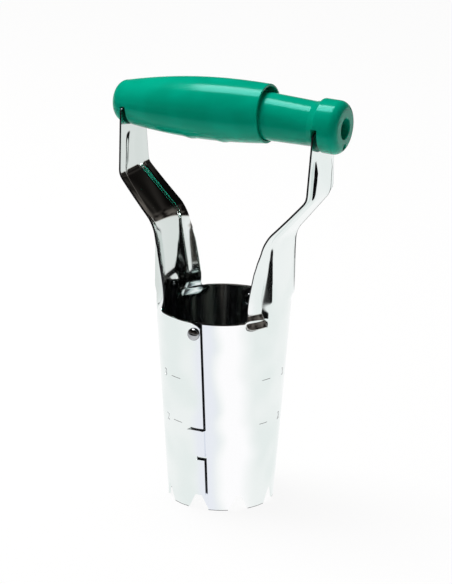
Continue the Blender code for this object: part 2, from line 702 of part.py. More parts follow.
def handle(grip_finish, steel, parent):
    left_pivot = link("left_pivot", None, parent)
    left_pivot.location = (-arm_middle(GRIP_PIVOT_HEIGHT), 0, GRIP_PIVOT_HEIGHT)
    left_pivot.rotation_euler = (0, -GRIP_TILT, 0)
    right_pivot = link("right_pivot", None, parent)
    right_pivot.location = (arm_middle(TUBE_PIVOT_HEIGHT), 0, TUBE_PIVOT_HEIGHT)
    right_pivot.rotation_euler = (0, TUBE_TILT, 0)

    grip = handle_piece("grip_barrel", grip_profile(), GRIP_PIN_DEPTH, grip_finish, left_pivot)
    top = GRIP_PIVOT_BELOW_TIP + GRIP_SLOT_HEADROOM
    cut_slot(grip, GRIP_SLOT_INNER_SIDE, top, GRIP_BELLY_RADIUS, GRIP_PIN_DEPTH)
    cut_pin_hole(grip, -GRIP_LEFT_REACH - CUT_OVERRUN, GRIP_PIN_RIGHT + PIN_CLEARANCE)
    pin("left_arm_pin", GRIP_PIN_LEFT, GRIP_PIN_RIGHT, steel, left_pivot)

    tube = handle_piece("push_tube", tube_profile(), TUBE_PIN_DEPTH, grip_finish, right_pivot)
    top = TUBE_PIVOT_BELOW_TIP + CAP_SLOT_HEADROOM
    cut_slot(tube, CAP_SLOT_OUTER_SIDE, top, CAP_RADIUS, TUBE_PIN_DEPTH)
    cut_pin_hole(tube, -CAP_PIN_LEFT - PIN_CLEARANCE, CAP_REACH + CUT_OVERRUN)
    pin("right_arm_pin", CAP_PIN_LEFT, CAP_PIN_RIGHT, steel, right_pivot)

    between_pivots = arm_middle(GRIP_PIVOT_HEIGHT) + arm_middle(TUBE_PIVOT_HEIGHT)
    tube_end = between_pivots + TUBE_INNER_STATION
    lean = SPRING_RADIUS * math.sin(GRIP_TILT + TUBE_TILT)
    start = GRIP_SPRING_SEAT_STATION + SPRING_END_GAP + SPRING_WIRE / 2
    end = tube_end - SPRING_END_GAP - SPRING_WIRE / 2 - lean
    spring(steel, left_pivot, start, end)


def handle_offset():
    """How far the cylinder's axis lies to the right of the middle of the whole tool."""
    left = arm_middle(GRIP_PIVOT_HEIGHT) + GRIP_LEFT_REACH * math.cos(GRIP_TILT)
    left += (GRIP_PIN_DEPTH + GRIP_FACE_RADIUS) * math.sin(GRIP_TILT)
    right = arm_middle(TUBE_PIVOT_HEIGHT) + CAP_REACH * math.cos(TUBE_TILT)
    right += (TUBE_PIN_DEPTH + CAP_RADIUS - CAP_ROUNDING) * math.sin(TUBE_TILT)
    return (left - right) / 2


def main():
    for old in list(bpy.data.objects):
        bpy.data.objects.remove(old)
    steel = material("bright plated steel", (0.80, 0.81, 0.82), 1, 0.12)
    pin_steel = material("pin and spring steel", (0.55, 0.56, 0.58), 1, 0.25)
    plastic = material("green gloss plastic", (0.0, 0.34, 0.22), 0, 0.18)
    planter = link("bulb_planter", None, None)
    planter.location = (handle_offset(), 0, 0)
    half_shells(steel, planter)
    rivet("front_pivot_rivet", FRONT, steel, planter)
    rivet("back_pivot_rivet", BACK, steel, planter)
    handle(plastic, pin_steel, planter)


main()
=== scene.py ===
"""Bulb planter, dressed: plated half shells with pressed arms, rivets, a green handle of two sliding
pieces, pins and a coil spring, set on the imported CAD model. Lengths are in metres and +Z is up."""

import logging
import math
from dataclasses import dataclass, field
from enum import Enum
from typing import Callable, Optional, Sequence, Union

import bmesh
import bpy
from mathutils import Matrix, Vector


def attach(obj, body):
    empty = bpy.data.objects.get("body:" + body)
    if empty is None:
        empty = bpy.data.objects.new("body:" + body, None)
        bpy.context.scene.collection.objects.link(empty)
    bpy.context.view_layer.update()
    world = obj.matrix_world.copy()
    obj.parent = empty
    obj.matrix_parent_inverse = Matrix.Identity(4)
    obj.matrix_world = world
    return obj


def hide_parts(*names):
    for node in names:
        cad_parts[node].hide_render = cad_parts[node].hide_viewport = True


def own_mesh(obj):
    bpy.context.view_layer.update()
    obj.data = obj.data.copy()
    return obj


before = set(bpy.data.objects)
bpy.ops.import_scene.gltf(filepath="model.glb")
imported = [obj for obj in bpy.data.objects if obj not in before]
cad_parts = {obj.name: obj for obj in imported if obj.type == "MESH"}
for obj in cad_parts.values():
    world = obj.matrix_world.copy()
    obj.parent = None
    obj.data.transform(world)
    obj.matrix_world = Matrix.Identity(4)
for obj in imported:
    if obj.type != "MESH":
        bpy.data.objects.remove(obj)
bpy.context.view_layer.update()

AXIS_X = -0.002026
RIM_HEIGHT = 0.1043
RIM_RADIUS = 0.0350
TIP_RADIUS = 0.0277
RIVET_HEIGHT = 0.0981
ROOT_STEPS, BEND_STEPS, CORNER_STEPS, JOGGLE_STEPS, TOOTH_STEPS = 8, 12, 6, 6, 4
# Material slots of a half shell: the sheet, then the painted shade on its edges and in its crevice.
FACE, EDGE_SHADE_SLOT = 0, 1
CLOUDS = (0.35, 0.65)
SHARPEST_ROUNDED = math.radians(50)
IMAGE_SIZE = (452, 584)
log = logging.getLogger("planter")

Pair = tuple[float, float]
Triple = tuple[float, float, float]
Row = tuple[float, ...]
Piece = bpy.types.Object


class Hand(Enum):
    """Which half of the tool a piece belongs to."""

    LEFT = -1
    RIGHT = 1


class Side(Enum):
    """Which seam of the cylinder a column of the wall runs towards."""

    FRONT = -1
    BACK = 1


class Seam(Enum):
    """How a half shell ends at its seams."""

    OUTER_LAP = "outer lap"
    INNER_FLANGE = "inner flange"


# Numbers and curves


def smooth(share: float) -> float:
    """Eases a share between 0 and 1 with level ends."""
    share = min(max(share, 0.0), 1.0)
    return share * share * (3 - 2 * share)


def between(x: float, stops: Row, values: Row, ease: Callable[[float], float] = float) -> float:
    """Reads a value from a table.

    Args:
        x: Where to read.
        stops: Where the values stand, in rising order.
        values: The value at each stop.
        ease: Shapes the share of each stretch.

    Returns:
        The value at x, held level beyond both ends.
    """
    if x <= stops[0]:
        return values[0]
    for x0, x1, v0, v1 in zip(stops, stops[1:], values, values[1:]):
        if x <= x1:
            return v0 + (v1 - v0) * ease((x - x0) / (x1 - x0))
    return values[-1]


def along(values: Sequence[float], place: float) -> float:
    """Reads a list of values at a place counted in their steps."""
    low = min(int(place), len(values) - 2)
    return values[low] + (values[low + 1] - values[low]) * (place - low)


def refined(stops: Sequence[float], longest: float) -> list[float]:
    """Divides the stretches between stops evenly.

    Args:
        stops: Values in order.
        longest: The longest division.

    Returns:
        The stops with the divisions between them.
    """
    values = [stops[0]]
    for start, end in zip(stops, stops[1:]):
        count = max(1, math.ceil(abs(end - start) / longest - 1e-6))
        values += [start + (end - start) * i / count for i in range(1, count + 1)]
    return values


def rounded(centre: Pair, run: float, rise: float, start: float, end: float, steps: int) -> list[Pair]:
    """Points of an elliptical rounding.

    Args:
        centre: Station and radius of the centre.
        run: Half axis along the stations.
        rise: Half axis away from the axis.
        start: First angle.
        end: Last angle.
        steps: Number of divisions.

    Returns:
        (station, radius) points.
    """
    angles = [start + (end - start) * i / steps for i in range(steps + 1)]
    return [(centre[0] + run * math.cos(a), centre[1] + rise * math.sin(a)) for a in angles]


# Node trees

Setting = Union[float, int, bool, str, tuple, bpy.types.ID, bpy.types.NodeSocket, "Signal"]


class Signal:
    """A number that flows through a node tree, which adds Math nodes when it is used in sums."""

    def __init__(self, bench: "NodeBench", socket: bpy.types.NodeSocket) -> None:
        """Wraps an output socket of the bench's tree."""
        self.bench = bench
        self.socket = socket

    def _math(self, operation: str, first: Setting, second: Setting = 0.0) -> "Signal":
        """Adds one Math node and returns its result."""
        node = self.bench.make("ShaderNodeMath", {"operation": operation}, {0: first, 1: second})
        return Signal(self.bench, node.outputs[0])

    def __add__(self, other: Setting) -> "Signal":
        """Sum with a number or a signal."""
        return self._math("ADD", self, other)

    def __radd__(self, other: Setting) -> "Signal":
        """Sum, from a number on the left."""
        return self._math("ADD", other, self)

    def __sub__(self, other: Setting) -> "Signal":
        """Difference with a number or a signal."""
        return self._math("SUBTRACT", self, other)

    def __rsub__(self, other: Setting) -> "Signal":
        """Difference, from a number on the left."""
        return self._math("SUBTRACT", other, self)

    def __mul__(self, other: Setting) -> "Signal":
        """Product with a number or a signal."""
        return self._math("MULTIPLY", self, other)

    def __truediv__(self, other: Setting) -> "Signal":
        """Quotient with a number or a signal."""
        return self._math("DIVIDE", self, other)

    def larger(self, other: Setting) -> "Signal":
        """The larger of two numbers."""
        return self._math("MAXIMUM", self, other)

    def eased(self, low: float, high: float) -> "Signal":
        """Rises smoothly from 0 at low to 1 at high."""
        node = self.bench.make("ShaderNodeMapRange", {"interpolation_type": "SMOOTHSTEP"},
                               {"Value": self, "From Min": low, "From Max": high})
        return Signal(self.bench, node.outputs[0])


class NodeBench:
    """Makes the nodes of one tree."""

    def __init__(self, tree: bpy.types.NodeTree) -> None:
        """Takes the tree that the nodes go into."""
        self.tree = tree

    def make(self, kind: str, settings: Optional[dict[str, object]] = None,
             inputs: Optional[dict[Union[str, int], Setting]] = None) -> bpy.types.Node:
        """Adds a node.

        Args:
            kind: Blender's name of the node's type.
            settings: Properties of the node, set before its sockets.
            inputs: Values or links of its sockets, by name or place.

        Returns:
            The node.
        """
        node = self.tree.nodes.new(kind)
        for name, value in (settings or {}).items():
            setattr(node, name, value)
        for key, value in (inputs or {}).items():
            value = value.socket if isinstance(value, Signal) else value
            if isinstance(value, bpy.types.NodeSocket):
                self.tree.links.new(value, node.inputs[key])
            else:
                node.inputs[key].default_value = value
        return node

    def signal(self, kind: str, settings: Optional[dict[str, object]] = None,
               inputs: Optional[dict[Union[str, int], Setting]] = None, output: int = 0) -> Signal:
        """Adds a node and wraps one of its outputs."""
        return Signal(self, self.make(kind, settings, inputs).outputs[output])

    def noise(self, scale: float, stretch: Triple = (1, 1, 1), detail: float = 2.0) -> Signal:
        """Noise over the object.

        Args:
            scale: Waves per metre.
            stretch: Scale along X, Y and Z.
            detail: Octaves.

        Returns:
            A signal around 0.5.
        """
        place = self.make("ShaderNodeTexCoord").outputs["Object"]
        mapped = self.make("ShaderNodeMapping", None, {"Vector": place, "Scale": stretch}).outputs[0]
        return self.signal("ShaderNodeTexNoise", None, {"Vector": mapped, "Scale": scale, "Detail": detail})

    def mix(self, factor: Setting, first: Setting, second: Setting) -> bpy.types.NodeSocket:
        """Mixes two colours."""
        return self.make("ShaderNodeMix", {"data_type": "RGBA"}, {0: factor, 6: first, 7: second}).outputs[2]

    def blend(self, factor: Setting, first: Setting, second: Setting) -> bpy.types.NodeSocket:
        """Mixes two shaders."""
        return self.make("ShaderNodeMixShader", None, {0: factor, 1: first, 2: second}).outputs[0]

    def part(self, vector: Setting, axis: int) -> Signal:
        """One coordinate of a vector."""
        return self.signal("ShaderNodeSeparateXYZ", None, {0: vector}, axis)

    def vector(self, x: Setting = 0.0, y: Setting = 0.0, z: Setting = 0.0) -> bpy.types.NodeSocket:
        """A vector of three numbers or signals."""
        return self.make("ShaderNodeCombineXYZ", None, {0: x, 1: y, 2: z}).outputs[0]


def cleared(owner: Union[bpy.types.Material, bpy.types.World]) -> NodeBench:
    """The bench of a material or world, emptied of its first nodes."""
    owner.use_nodes = True
    owner.node_tree.nodes.clear()
    return NodeBench(owner.node_tree)


class CopyTree:
    """A Geometry Nodes tree that sets copies of a shape on a line of points."""

    def __init__(self, name: str, numbers: Sequence[str]) -> None:
        """Makes the tree, with its named inputs.

        Args:
            name: Name of the tree.
            numbers: Names of its numbers.
        """
        self.tree = bpy.data.node_groups.new(name, "GeometryNodeTree")
        kinds = {"Geometry": "Geometry", "Count": "Int", **dict.fromkeys(numbers, "Float"), "Finish": "Material"}
        for label, kind in kinds.items():
            self.tree.interface.new_socket(label, in_out="INPUT", socket_type="NodeSocket" + kind)
        self.tree.interface.new_socket("Geometry", in_out="OUTPUT", socket_type="NodeSocketGeometry")
        self.bench = NodeBench(self.tree)
        self.given = self.bench.make("NodeGroupInput").outputs

    def spread(self, shape: bpy.types.NodeSocket, start: Setting, step: Setting, turns: dict[str, Setting]) -> None:
        """Sets the copies and ends the tree.

        Args:
            shape: The shape.
            start: The first point.
            step: From one point to the next.
            turns: Rotation or scale of the copies, by the socket's name.
        """
        points = self.bench.make("GeometryNodeMeshLine", {"mode": "OFFSET"}, {
            "Count": self.given["Count"], "Start Location": start, "Offset": step})
        copies = self.bench.make("GeometryNodeInstanceOnPoints", None, {
            "Points": points.outputs[0], "Instance": shape, **turns})
        real = self.bench.make("GeometryNodeRealizeInstances", None, {0: copies.outputs[0]})
        dressed_copies = self.bench.make("GeometryNodeSetMaterial", None, {
            "Geometry": real.outputs[0], "Material": self.given["Finish"]})
        self.bench.make("NodeGroupOutput", None, {0: dressed_copies.outputs[0]})

    def run(self, obj: Piece, values: dict[str, object]) -> None:
        """Adds the tree to an object as a modifier.

        Args:
            obj: The object.
            values: Values of the tree's inputs, by name.
        """
        modifier = obj.modifiers.new(self.tree.name, "NODES")
        modifier.node_group = self.tree
        for item in self.tree.interface.items_tree:
            if item.in_out == "INPUT" and item.name in values:
                modifier[item.identifier] = values[item.name]


# Finishes


@dataclass(frozen=True)
class Finish:
    """A surface finish: its two tints, its gloss and how even it is."""

    name: str
    tint: Triple
    second_tint: Triple
    roughness: float
    roughness_spread: float
    tint_scale: float
    grain_scale: float
    grain_depth: float
    wave_scale: float
    wave_depth: float
    grain_stretch: Triple = (1.0, 1.0, 1.0)
    metallic: float = 1.0
    glint: Triple = (1.0, 1.0, 1.0)
    index: float = 1.5

    def colour(self, bench: NodeBench) -> bpy.types.NodeSocket:
        """The surface colour, clouded between the two tints."""
        clouds = bench.noise(self.tint_scale, detail=1.0).eased(*CLOUDS)
        return bench.mix(clouds, (*self.tint, 1), (*self.second_tint, 1))

    def build(self) -> bpy.types.Material:
        """Makes the material.

        Returns:
            A node material on Object coordinates.
        """
        material = bpy.data.materials.new(self.name)
        bench = cleared(material)
        grain = bench.noise(self.grain_scale, self.grain_stretch, 3.0)
        wave = bench.noise(self.wave_scale, detail=1.0)
        relief = bench.make("ShaderNodeBump", None, {"Strength": 1.0, "Distance": 1.0,
                            "Height": grain * self.grain_depth + wave * self.wave_depth})
        shader = bench.make("ShaderNodeBsdfPrincipled", None, {
            "Base Color": self.colour(bench),
            "Roughness": self.roughness + (grain - 0.5) * self.roughness_spread,
            "Normal": relief.outputs[0],
            "Metallic": self.metallic,
            "Specular Tint": (*self.glint, 1),
            "IOR": self.index,
        })
        bench.make("ShaderNodeOutputMaterial", None, {"Surface": shader.outputs[0]})
        return material


@dataclass(frozen=True)
class PaintedBandFinish(Finish):
    """A plated finish whose colour carries soft upright bands of painted reflection, shade and highlight across X.
    """

    painted_light_bands: tuple[tuple[float, float, Triple], ...] = ()
    soft: float = 0.007
    waver: float = 0.010

    def colour(self, bench: NodeBench) -> bpy.types.NodeSocket:
        """The surface colour, in wavering bands of painted reflection and shade across X."""
        place = bench.make("ShaderNodeTexCoord").outputs["Object"]
        across = bench.part(place, 0) + (bench.noise(self.tint_scale, detail=1.0) - 0.5) * self.waver
        colour = super().colour(bench)
        # The bands paint reflected light and shade into the colour.
        for low, high, tint in self.painted_light_bands:
            share = across.eased(low - self.soft / 2, low + self.soft / 2)
            share = share * (1.0 - across.eased(high - self.soft / 2, high + self.soft / 2))
            colour = bench.mix(share, colour, (*tint, 1))
        return colour


# The bands are painted light: the darker band over the left arm and the left of the wall is painted shade, the
# bluish band near the middle is a painted reflection, and the near-white band right of it is a painted highlight.
PLATED_SHEET = PaintedBandFinish(
    "plated_sheet", (0.78, 0.84, 0.825), (0.84, 0.88, 0.87), 0.08, 0.05, 42.0, 900.0, 0.0000006, 55.0, 0.00004,
    grain_stretch=(1.0, 1.0, 0.08), painted_light_bands=(
        (-0.0900, -0.0320, (0.66, 0.71, 0.69)), (-0.0010, 0.0090, (0.80, 0.83, 0.89)),
        (0.0110, 0.0220, (0.98, 0.98, 0.99))))
# Near-black colour of the sheet's cut edges and of the flange in the crevice behind the lap: partly the duller bare
# steel of the cut edges, mostly painted shade.
EDGE_AND_CREVICE_SHADE = Finish(
    "edge_and_crevice_shade", (0.05, 0.05, 0.055), (0.10, 0.10, 0.11), 0.35, 0.2, 300.0, 4000.0, 0.000002, 400.0, 0.00001)
RIVET_STEEL = Finish(
    "rivet_steel", (0.36, 0.37, 0.39), (0.46, 0.47, 0.49), 0.12, 0.1, 200.0, 3000.0, 0.000001, 500.0, 0.00002)
DRAWN_WIRE = Finish(
    "drawn_wire", (0.50, 0.51, 0.53), (0.60, 0.61, 0.63), 0.25, 0.15, 300.0, 5000.0, 0.000002, 500.0, 0.00001,
    grain_stretch=(0.1, 1.0, 1.0))
GREEN_PLASTIC = Finish(
    "green_plastic", (0.0, 0.32, 0.20), (0.0, 0.36, 0.23), 0.15, 0.06, 60.0, 2500.0, 0.0000015, 45.0, 0.00006,
    metallic=0.0, glint=(0.15, 1.0, 0.95), index=1.31)
MARK_STEEL = Finish(
    "pressed_mark", (0.55, 0.57, 0.58), (0.62, 0.63, 0.64), 0.2, 0.1, 200.0, 3000.0, 0.000001, 500.0, 0.00001)


# Meshes


def link(name: str, data: bpy.types.ID) -> Piece:
    """Adds an object of the data to the scene, at the origin."""
    made = bpy.data.objects.new(name, data)
    bpy.context.scene.collection.objects.link(made)
    return made


def mesh_object(name: str, bm: bmesh.types.BMesh) -> Piece:
    """Makes an object of a bmesh, and frees the bmesh."""
    mesh = bpy.data.meshes.new(name)
    bm.to_mesh(mesh)
    bm.free()
    return link(name, mesh)


def evaluated(obj: Piece) -> bpy.types.Mesh:
    """A new mesh of what an object and its modifiers make."""
    bpy.context.view_layer.update()
    graph = bpy.context.evaluated_depsgraph_get()
    return bpy.data.meshes.new_from_object(obj.evaluated_get(graph), depsgraph=graph)


def applied(obj: Piece, place: Matrix = Matrix.Identity(4)) -> None:
    """Turns what an object's modifiers make into its plain mesh, with the object at the origin.

    Args:
        obj: The object with its modifiers.
        place: Where the mesh goes.
    """
    mesh = evaluated(obj)
    obj.modifiers.clear()
    old, obj.data = obj.data, mesh
    mesh.name = obj.name
    bpy.data.meshes.remove(old)
    mesh.transform(place)


def turned(name: str, profile: Sequence[Pair], axis: Vector, steps: int) -> Piece:
    """A closed body turned about its own axis.

    Args:
        name: Name of the object.
        profile: (station, radius) points, from the axis to the axis or as a loop clear of it.
        axis: Direction of the stations.
        steps: Facets round the axis.

    Returns:
        The object.
    """
    bm = bmesh.new()
    verts = [bm.verts.new(axis * station + Vector((0, 0, radius))) for station, radius in profile]
    edges = [bm.edges.new(pair) for pair in zip(verts, verts[1:])]
    if profile[0][1] > 0:
        edges.append(bm.edges.new((verts[-1], verts[0])))
    bmesh.ops.spin(bm, geom=verts + edges, axis=axis, cent=(0, 0, 0), angle=math.tau, steps=steps, use_merge=True)
    bmesh.ops.remove_doubles(bm, verts=bm.verts, dist=0.000001)
    bmesh.ops.recalc_face_normals(bm, faces=bm.faces)
    return mesh_object(name, bm)


def rod(name: str, axis: Vector, start: float, end: float, radius: float, steps: int = 48) -> Piece:
    """A round cutter between two stations along an axis."""
    return turned(name, [(start, 0), (start, radius), (end, radius), (end, 0)], axis, steps)


def slab(name: str, left: float, low: float, right: float, high: float, half_depth: float) -> Piece:
    """A cutter between two sides in X and two in Z, drawn out to both sides along Y."""
    outline = ((left, low), (right, low), (right, high), (left, high))
    bm = bmesh.new()
    ends = [[bm.verts.new((x, y, z)) for x, z in outline] for y in (-half_depth, half_depth)]
    bm.faces.new(ends[0])
    bm.faces.new(tuple(reversed(ends[1])))
    for i in range(4):
        j = (i + 1) % 4
        bm.faces.new((ends[0][j], ends[0][i], ends[1][i], ends[1][j]))
    bmesh.ops.recalc_face_normals(bm, faces=bm.faces)
    return mesh_object(name, bm)


def machined(body: Piece, cutters: Sequence[Piece], rounding: float, segments: int, place: Matrix) -> None:
    """Takes cutters out of a body, rounds its sharp edges and sets it in its place.

    Args:
        body: The body.
        cutters: What is taken out, removed afterwards.
        rounding: Width of the rounding.
        segments: Steps of the rounding.
        place: Where the body goes.
    """
    for cutter in cutters:
        boolean = body.modifiers.new(cutter.name, "BOOLEAN")
        boolean.operation = "DIFFERENCE"
        boolean.solver = "EXACT"
        boolean.object = cutter
    bevel = body.modifiers.new("edge rounding", "BEVEL")
    bevel.width = rounding
    bevel.segments = segments
    bevel.limit_method = "ANGLE"
    bevel.angle_limit = SHARPEST_ROUNDED
    applied(body, place)
    for cutter in cutters:
        bpy.data.objects.remove(cutter)


def shaded(obj: Piece, angle: float = 40.0) -> None:
    """Shades an object smooth up to its sharp edges."""
    obj.data.shade_smooth()
    obj.data.set_sharp_from_angle(angle=math.radians(angle))


def dressed(obj: Piece, body: str, finishes: Sequence[bpy.types.Material],
            nodes: Sequence[str] = ()) -> None:
    """Gives a finished piece its materials and its place in the model.

    Args:
        obj: The piece.
        body: The body that it rides on.
        finishes: Materials in order.
        nodes: CAD nodes that it stands for.
    """
    indices = [polygon.material_index for polygon in obj.data.polygons]
    obj.data.materials.clear()
    for finish in finishes:
        obj.data.materials.append(finish)
    for polygon, index in zip(obj.data.polygons, indices):
        polygon.material_index = min(index, len(finishes) - 1)
    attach(obj, body)
    if nodes:
        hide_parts(*nodes)
    log.info("%s: %d faces on %s", obj.name, len(obj.data.polygons), body)


# Half shells


@dataclass
class HalfShell:
    """One stamping: half of the toothed cylinder with its arm."""

    hand: Hand
    seam: Seam
    sheet: float = 0.0010
    lap_step: float = 0.0017
    height: float = RIM_HEIGHT
    rim_radius: float = RIM_RADIUS
    tip_radius: float = TIP_RADIUS
    teeth: int = 8
    notch_depth: float = 0.0080
    mouth_share: float = 0.25
    apex_share: float = 0.06
    band: float = 0.0030
    burr: float = 0.0003
    lap_at_rim: float = 0.0034
    lap_at_tip: float = 0.0047
    lap_corner_drop: float = 0.0026
    seam_gap: float = 0.0006
    joggle_run: float = 0.0007
    joggle_margin: float = 0.0030
    flange_reach: float = 0.0050
    flange_corner_drop: float = 0.0024
    seam_middle: float = 0.0020
    finger_low: float = 0.0305
    finger_high: float = 0.0450
    finger_slit: float = 0.0009
    finger_foot_slit: float = 0.0022
    finger_reach: float = 0.0052
    finger_lift: float = 0.0013
    finger_corner: float = 0.0018
    crevice_lip: float = 0.2
    crevice_margin: float = 0.0010
    finger_margin: float = 0.0002
    plain_edges: tuple[Pair, ...] = ((0.0006, 0.0150), (0.1005, 0.1046))
    corner_start: float = 0.0960
    foot_notch: Row = (0.0004, 0.0279, 0.0060, 0.0303, 0.0400)
    arm_spread: float = 0.0534
    top_lean: float = math.radians(2)
    lower_bend: float = 0.1460
    lower_bend_radius: float = 0.0140
    upper_bend: float = 0.1707
    upper_bend_radius: float = 0.0100
    arm_tip: float = 0.2052
    tip_corner: float = 0.0020
    root_fillet: float = 0.0045
    hip_height: float = 0.1300
    half_widths: Row = (0.0217, 0.0213, 0.0188, 0.0159, 0.0128)
    curl_heights: Row = (0.1043, 0.1360, 0.1460, 0.1707)
    curls: Row = (1.0, 0.92, 0.60, 0.0)
    dent_depth: float = 0.0034
    dent_heights: Triple = (0.0985, 0.1098, 0.1400)
    dent_columns: Triple = (2.0, 6.9, 1.9)
    web_bow: float = 0.75
    rib_ramp: float = 0.0050
    rib_rises: Row = (0.0003, 0.0018, 0.0015, 0.0003)
    rib_rise_heights: Row = (0.1460, 0.1707, 0.1840, 0.1930)
    rib_heights: Row = (0.1460, 0.1680, 0.1745, 0.1810)
    rib_foot: Row = (0.0145, 0.0115, 0.0104, 0.0098)
    rib_crest: Row = (0.0130, 0.0086, 0.0036, 0.0030)
    rib_fade: Pair = (0.1890, 0.1950)
    pivot_height: float = 0.1986
    pin_hole_radius: float = 0.0021
    rivet_height: float = RIVET_HEIGHT
    rivet_bore_radius: float = 0.0023
    edge_rounding: float = 0.00012
    hole_reach: float = 0.0040
    bore_reach: float = 0.0400
    smoothing: float = 38.0
    column_counts: tuple[int, ...] = (4, 4, 7, 6, 6, 6)
    column_step: float = 0.0012
    seam_step: float = 0.0007
    station_step: float = 0.0012
    row_step: float = 0.0022
    rim_row_step: float = 0.0006
    rows: list[float] = field(default_factory=list)
    tips: list[float] = field(default_factory=list)
    rims: list[float] = field(default_factory=list)

    def __post_init__(self) -> None:
        """Works out the rows and the columns of the wall."""
        self.pitch = math.tau / self.teeth
        apex, mouth = self.apex_share * self.pitch, self.mouth_share * self.pitch
        steps = [mouth + (self.pitch - 2 * mouth) * share for share in (1 / 3, 2 / 3)]
        first = [0, apex, mouth] + steps + [self.pitch - mouth, self.pitch - apex]
        self.tips = first + [self.pitch + apex, self.pitch + mouth] + [self.pitch + s for s in steps]
        angles = [math.asin(y / self.rim_radius) for y in self.places(self.height)]
        fillet = angles[-1] + self.root_fillet / self.rim_radius
        self.fillet_run = self.rim_radius * math.sin(fillet) - self.half_widths[0]
        last = math.acos((self.lap_at_rim + self.seam_gap + self.joggle_margin) / self.rim_radius)
        rest = len(self.tips) - len(angles) - 1
        self.rims = angles + [fillet + (last - fillet) * i / rest for i in range(rest + 1)]
        stops = [self.notch_depth + self.band, self.finger_low - self.finger_foot_slit, self.finger_low,
                 self.finger_high, self.finger_high + self.finger_slit, self.dent_heights[0]]
        self.rows = refined(stops, self.row_step)
        self.rows += refined([self.dent_heights[0], self.height], self.rim_row_step)[1:]

    def cone_radius(self, z: float) -> float:
        """Outer radius of the wall at a height."""
        return self.tip_radius + (self.rim_radius - self.tip_radius) * z / self.height

    def tooth_edge(self, angle: float) -> float:
        """Height of the toothed edge at an angle from the arm."""
        off = abs((angle + self.pitch / 2) % self.pitch - self.pitch / 2)
        apex, mouth = self.apex_share * self.pitch, self.mouth_share * self.pitch
        return between((off - apex) / (mouth - apex), (0, 1), (self.notch_depth, 0))

    def half_width(self, z: float) -> float:
        """Half of the arm's width at a height, with its fillet at the root and its corner at the tip."""
        width = between(z, (self.height, self.hip_height, self.lower_bend, self.upper_bend, self.arm_tip),
                        self.half_widths)
        down = max(z - (self.arm_tip - self.tip_corner), 0.0)
        return width - (self.tip_corner - math.sqrt(max(self.tip_corner ** 2 - down ** 2, 0.0)))

    def flare(self, z: float) -> float:
        """How far the fillet at the arm's root stands out from the arm's edge at a height."""
        left = 1 - min(max(z - self.height, 0.0) / self.root_fillet, 1.0)
        return self.fillet_run * (1 - math.sqrt(1 - left ** 2))

    def foot_and_crest(self, z: float) -> Pair:
        """Distances from the arm's middle to the rib's foot and crest at a height."""
        return between(z, self.rib_heights, self.rib_foot), between(z, self.rib_heights, self.rib_crest)

    def places(self, z: float) -> list[float]:
        """Distances of the arm's main columns from its middle."""
        foot, crest = self.foot_and_crest(z)
        edge = self.half_width(z)
        return [0, crest / 2, crest, foot, (foot + edge) / 2, edge]

    def place_at(self, column: float, z: float) -> float:
        """Distance from the arm's middle at a part of a column."""
        return along(self.places(z) + [self.half_width(z) + self.flare(z)], column)

    def arm_columns(self) -> list[float]:
        """Columns of one side of the arm, counted in main columns, the fillet's included."""
        counts = self.column_counts
        return [i + j / n for i, n in enumerate(counts) for j in range(n)] + [float(len(counts))]

    def stations(self) -> list[tuple[Vector, float]]:
        """(point, lean) stations of the arm's outer face, from the rim to its tip."""
        slant = math.atan2(self.arm_spread - self.rim_radius, self.upper_bend - self.lower_bend)
        low = Vector((self.rim_radius, 0, self.lower_bend))
        high = Vector((self.arm_spread, 0, self.upper_bend))
        first = self.bend(low, 0, slant, self.lower_bend_radius)
        second = self.bend(high, slant, self.top_lean, self.upper_bend_radius)
        root = [self.height + self.root_fillet * i / ROOT_STEPS for i in range(1, ROOT_STEPS + 1)]
        made = [(Vector((self.rim_radius, 0, z)), 0.0) for z in root]
        made += self.straight(made[-1], first[0])[1:-1] + first
        made += self.straight(first[-1], second[0])[1:-1] + second
        corner = self.arm_tip - self.tip_corner
        end = (self.top_point(corner), self.top_lean)
        made += self.straight(second[-1], end)[1:]
        turns = [math.pi / 2 * i / CORNER_STEPS for i in range(1, CORNER_STEPS + 1)]
        rises = [self.tip_corner * math.sin(turn) for turn in turns]
        return made + [(self.top_point(corner + rise), self.top_lean) for rise in rises]

    def top_point(self, z: float) -> Vector:
        """Outer face of the arm's straight top at a height."""
        return Vector((self.arm_spread + (z - self.upper_bend) * math.tan(self.top_lean), 0, z))

    def straight(self, start: tuple[Vector, float], end: tuple[Vector, float]) -> list[tuple[Vector, float]]:
        """Stations along a straight stretch of the arm, both ends included."""
        count = max(2, math.ceil((end[0] - start[0]).length / self.station_step))
        return [(start[0].lerp(end[0], i / count), start[1] if i < count else end[1]) for i in range(count + 1)]

    @staticmethod
    def bend(corner: Vector, lean_in: float, lean_out: float, radius: float) -> list[tuple[Vector, float]]:
        """Stations round a bend.

        Args:
            corner: Where the two straight stretches would meet.
            lean_in: Lean from upright below the bend.
            lean_out: Lean above it.
            radius: Radius of the outer face.

        Returns:
            (point, lean) stations.
        """
        turn = math.copysign(radius, lean_out - lean_in)
        start = corner - HalfShell.up(lean_in) * radius * math.tan(abs(lean_out - lean_in) / 2)
        centre = start + HalfShell.out(lean_in) * turn
        leans = [lean_in + (lean_out - lean_in) * i / BEND_STEPS for i in range(BEND_STEPS + 1)]
        return [(centre - HalfShell.out(lean) * turn, lean) for lean in leans]

    @staticmethod
    def up(lean: float) -> Vector:
        """Direction up an arm with a lean."""
        return Vector((math.sin(lean), 0, math.cos(lean)))

    @staticmethod
    def out(lean: float) -> Vector:
        """Direction out of an arm with a lean."""
        return Vector((math.cos(lean), 0, -math.sin(lean)))

    def dent(self, column: float, z: float) -> float:
        """How far the wall and the arm's flanges are set in round the arm's root."""
        depth = between(z, self.dent_heights, (0, self.dent_depth, 0), smooth)
        beyond = 5 + (column - 5) * min(self.flare(z) / self.fillet_run, 1.0) if column > 5 else column
        first, last, fade = self.dent_columns
        return depth * smooth(column - first) * smooth((last - beyond) / fade)

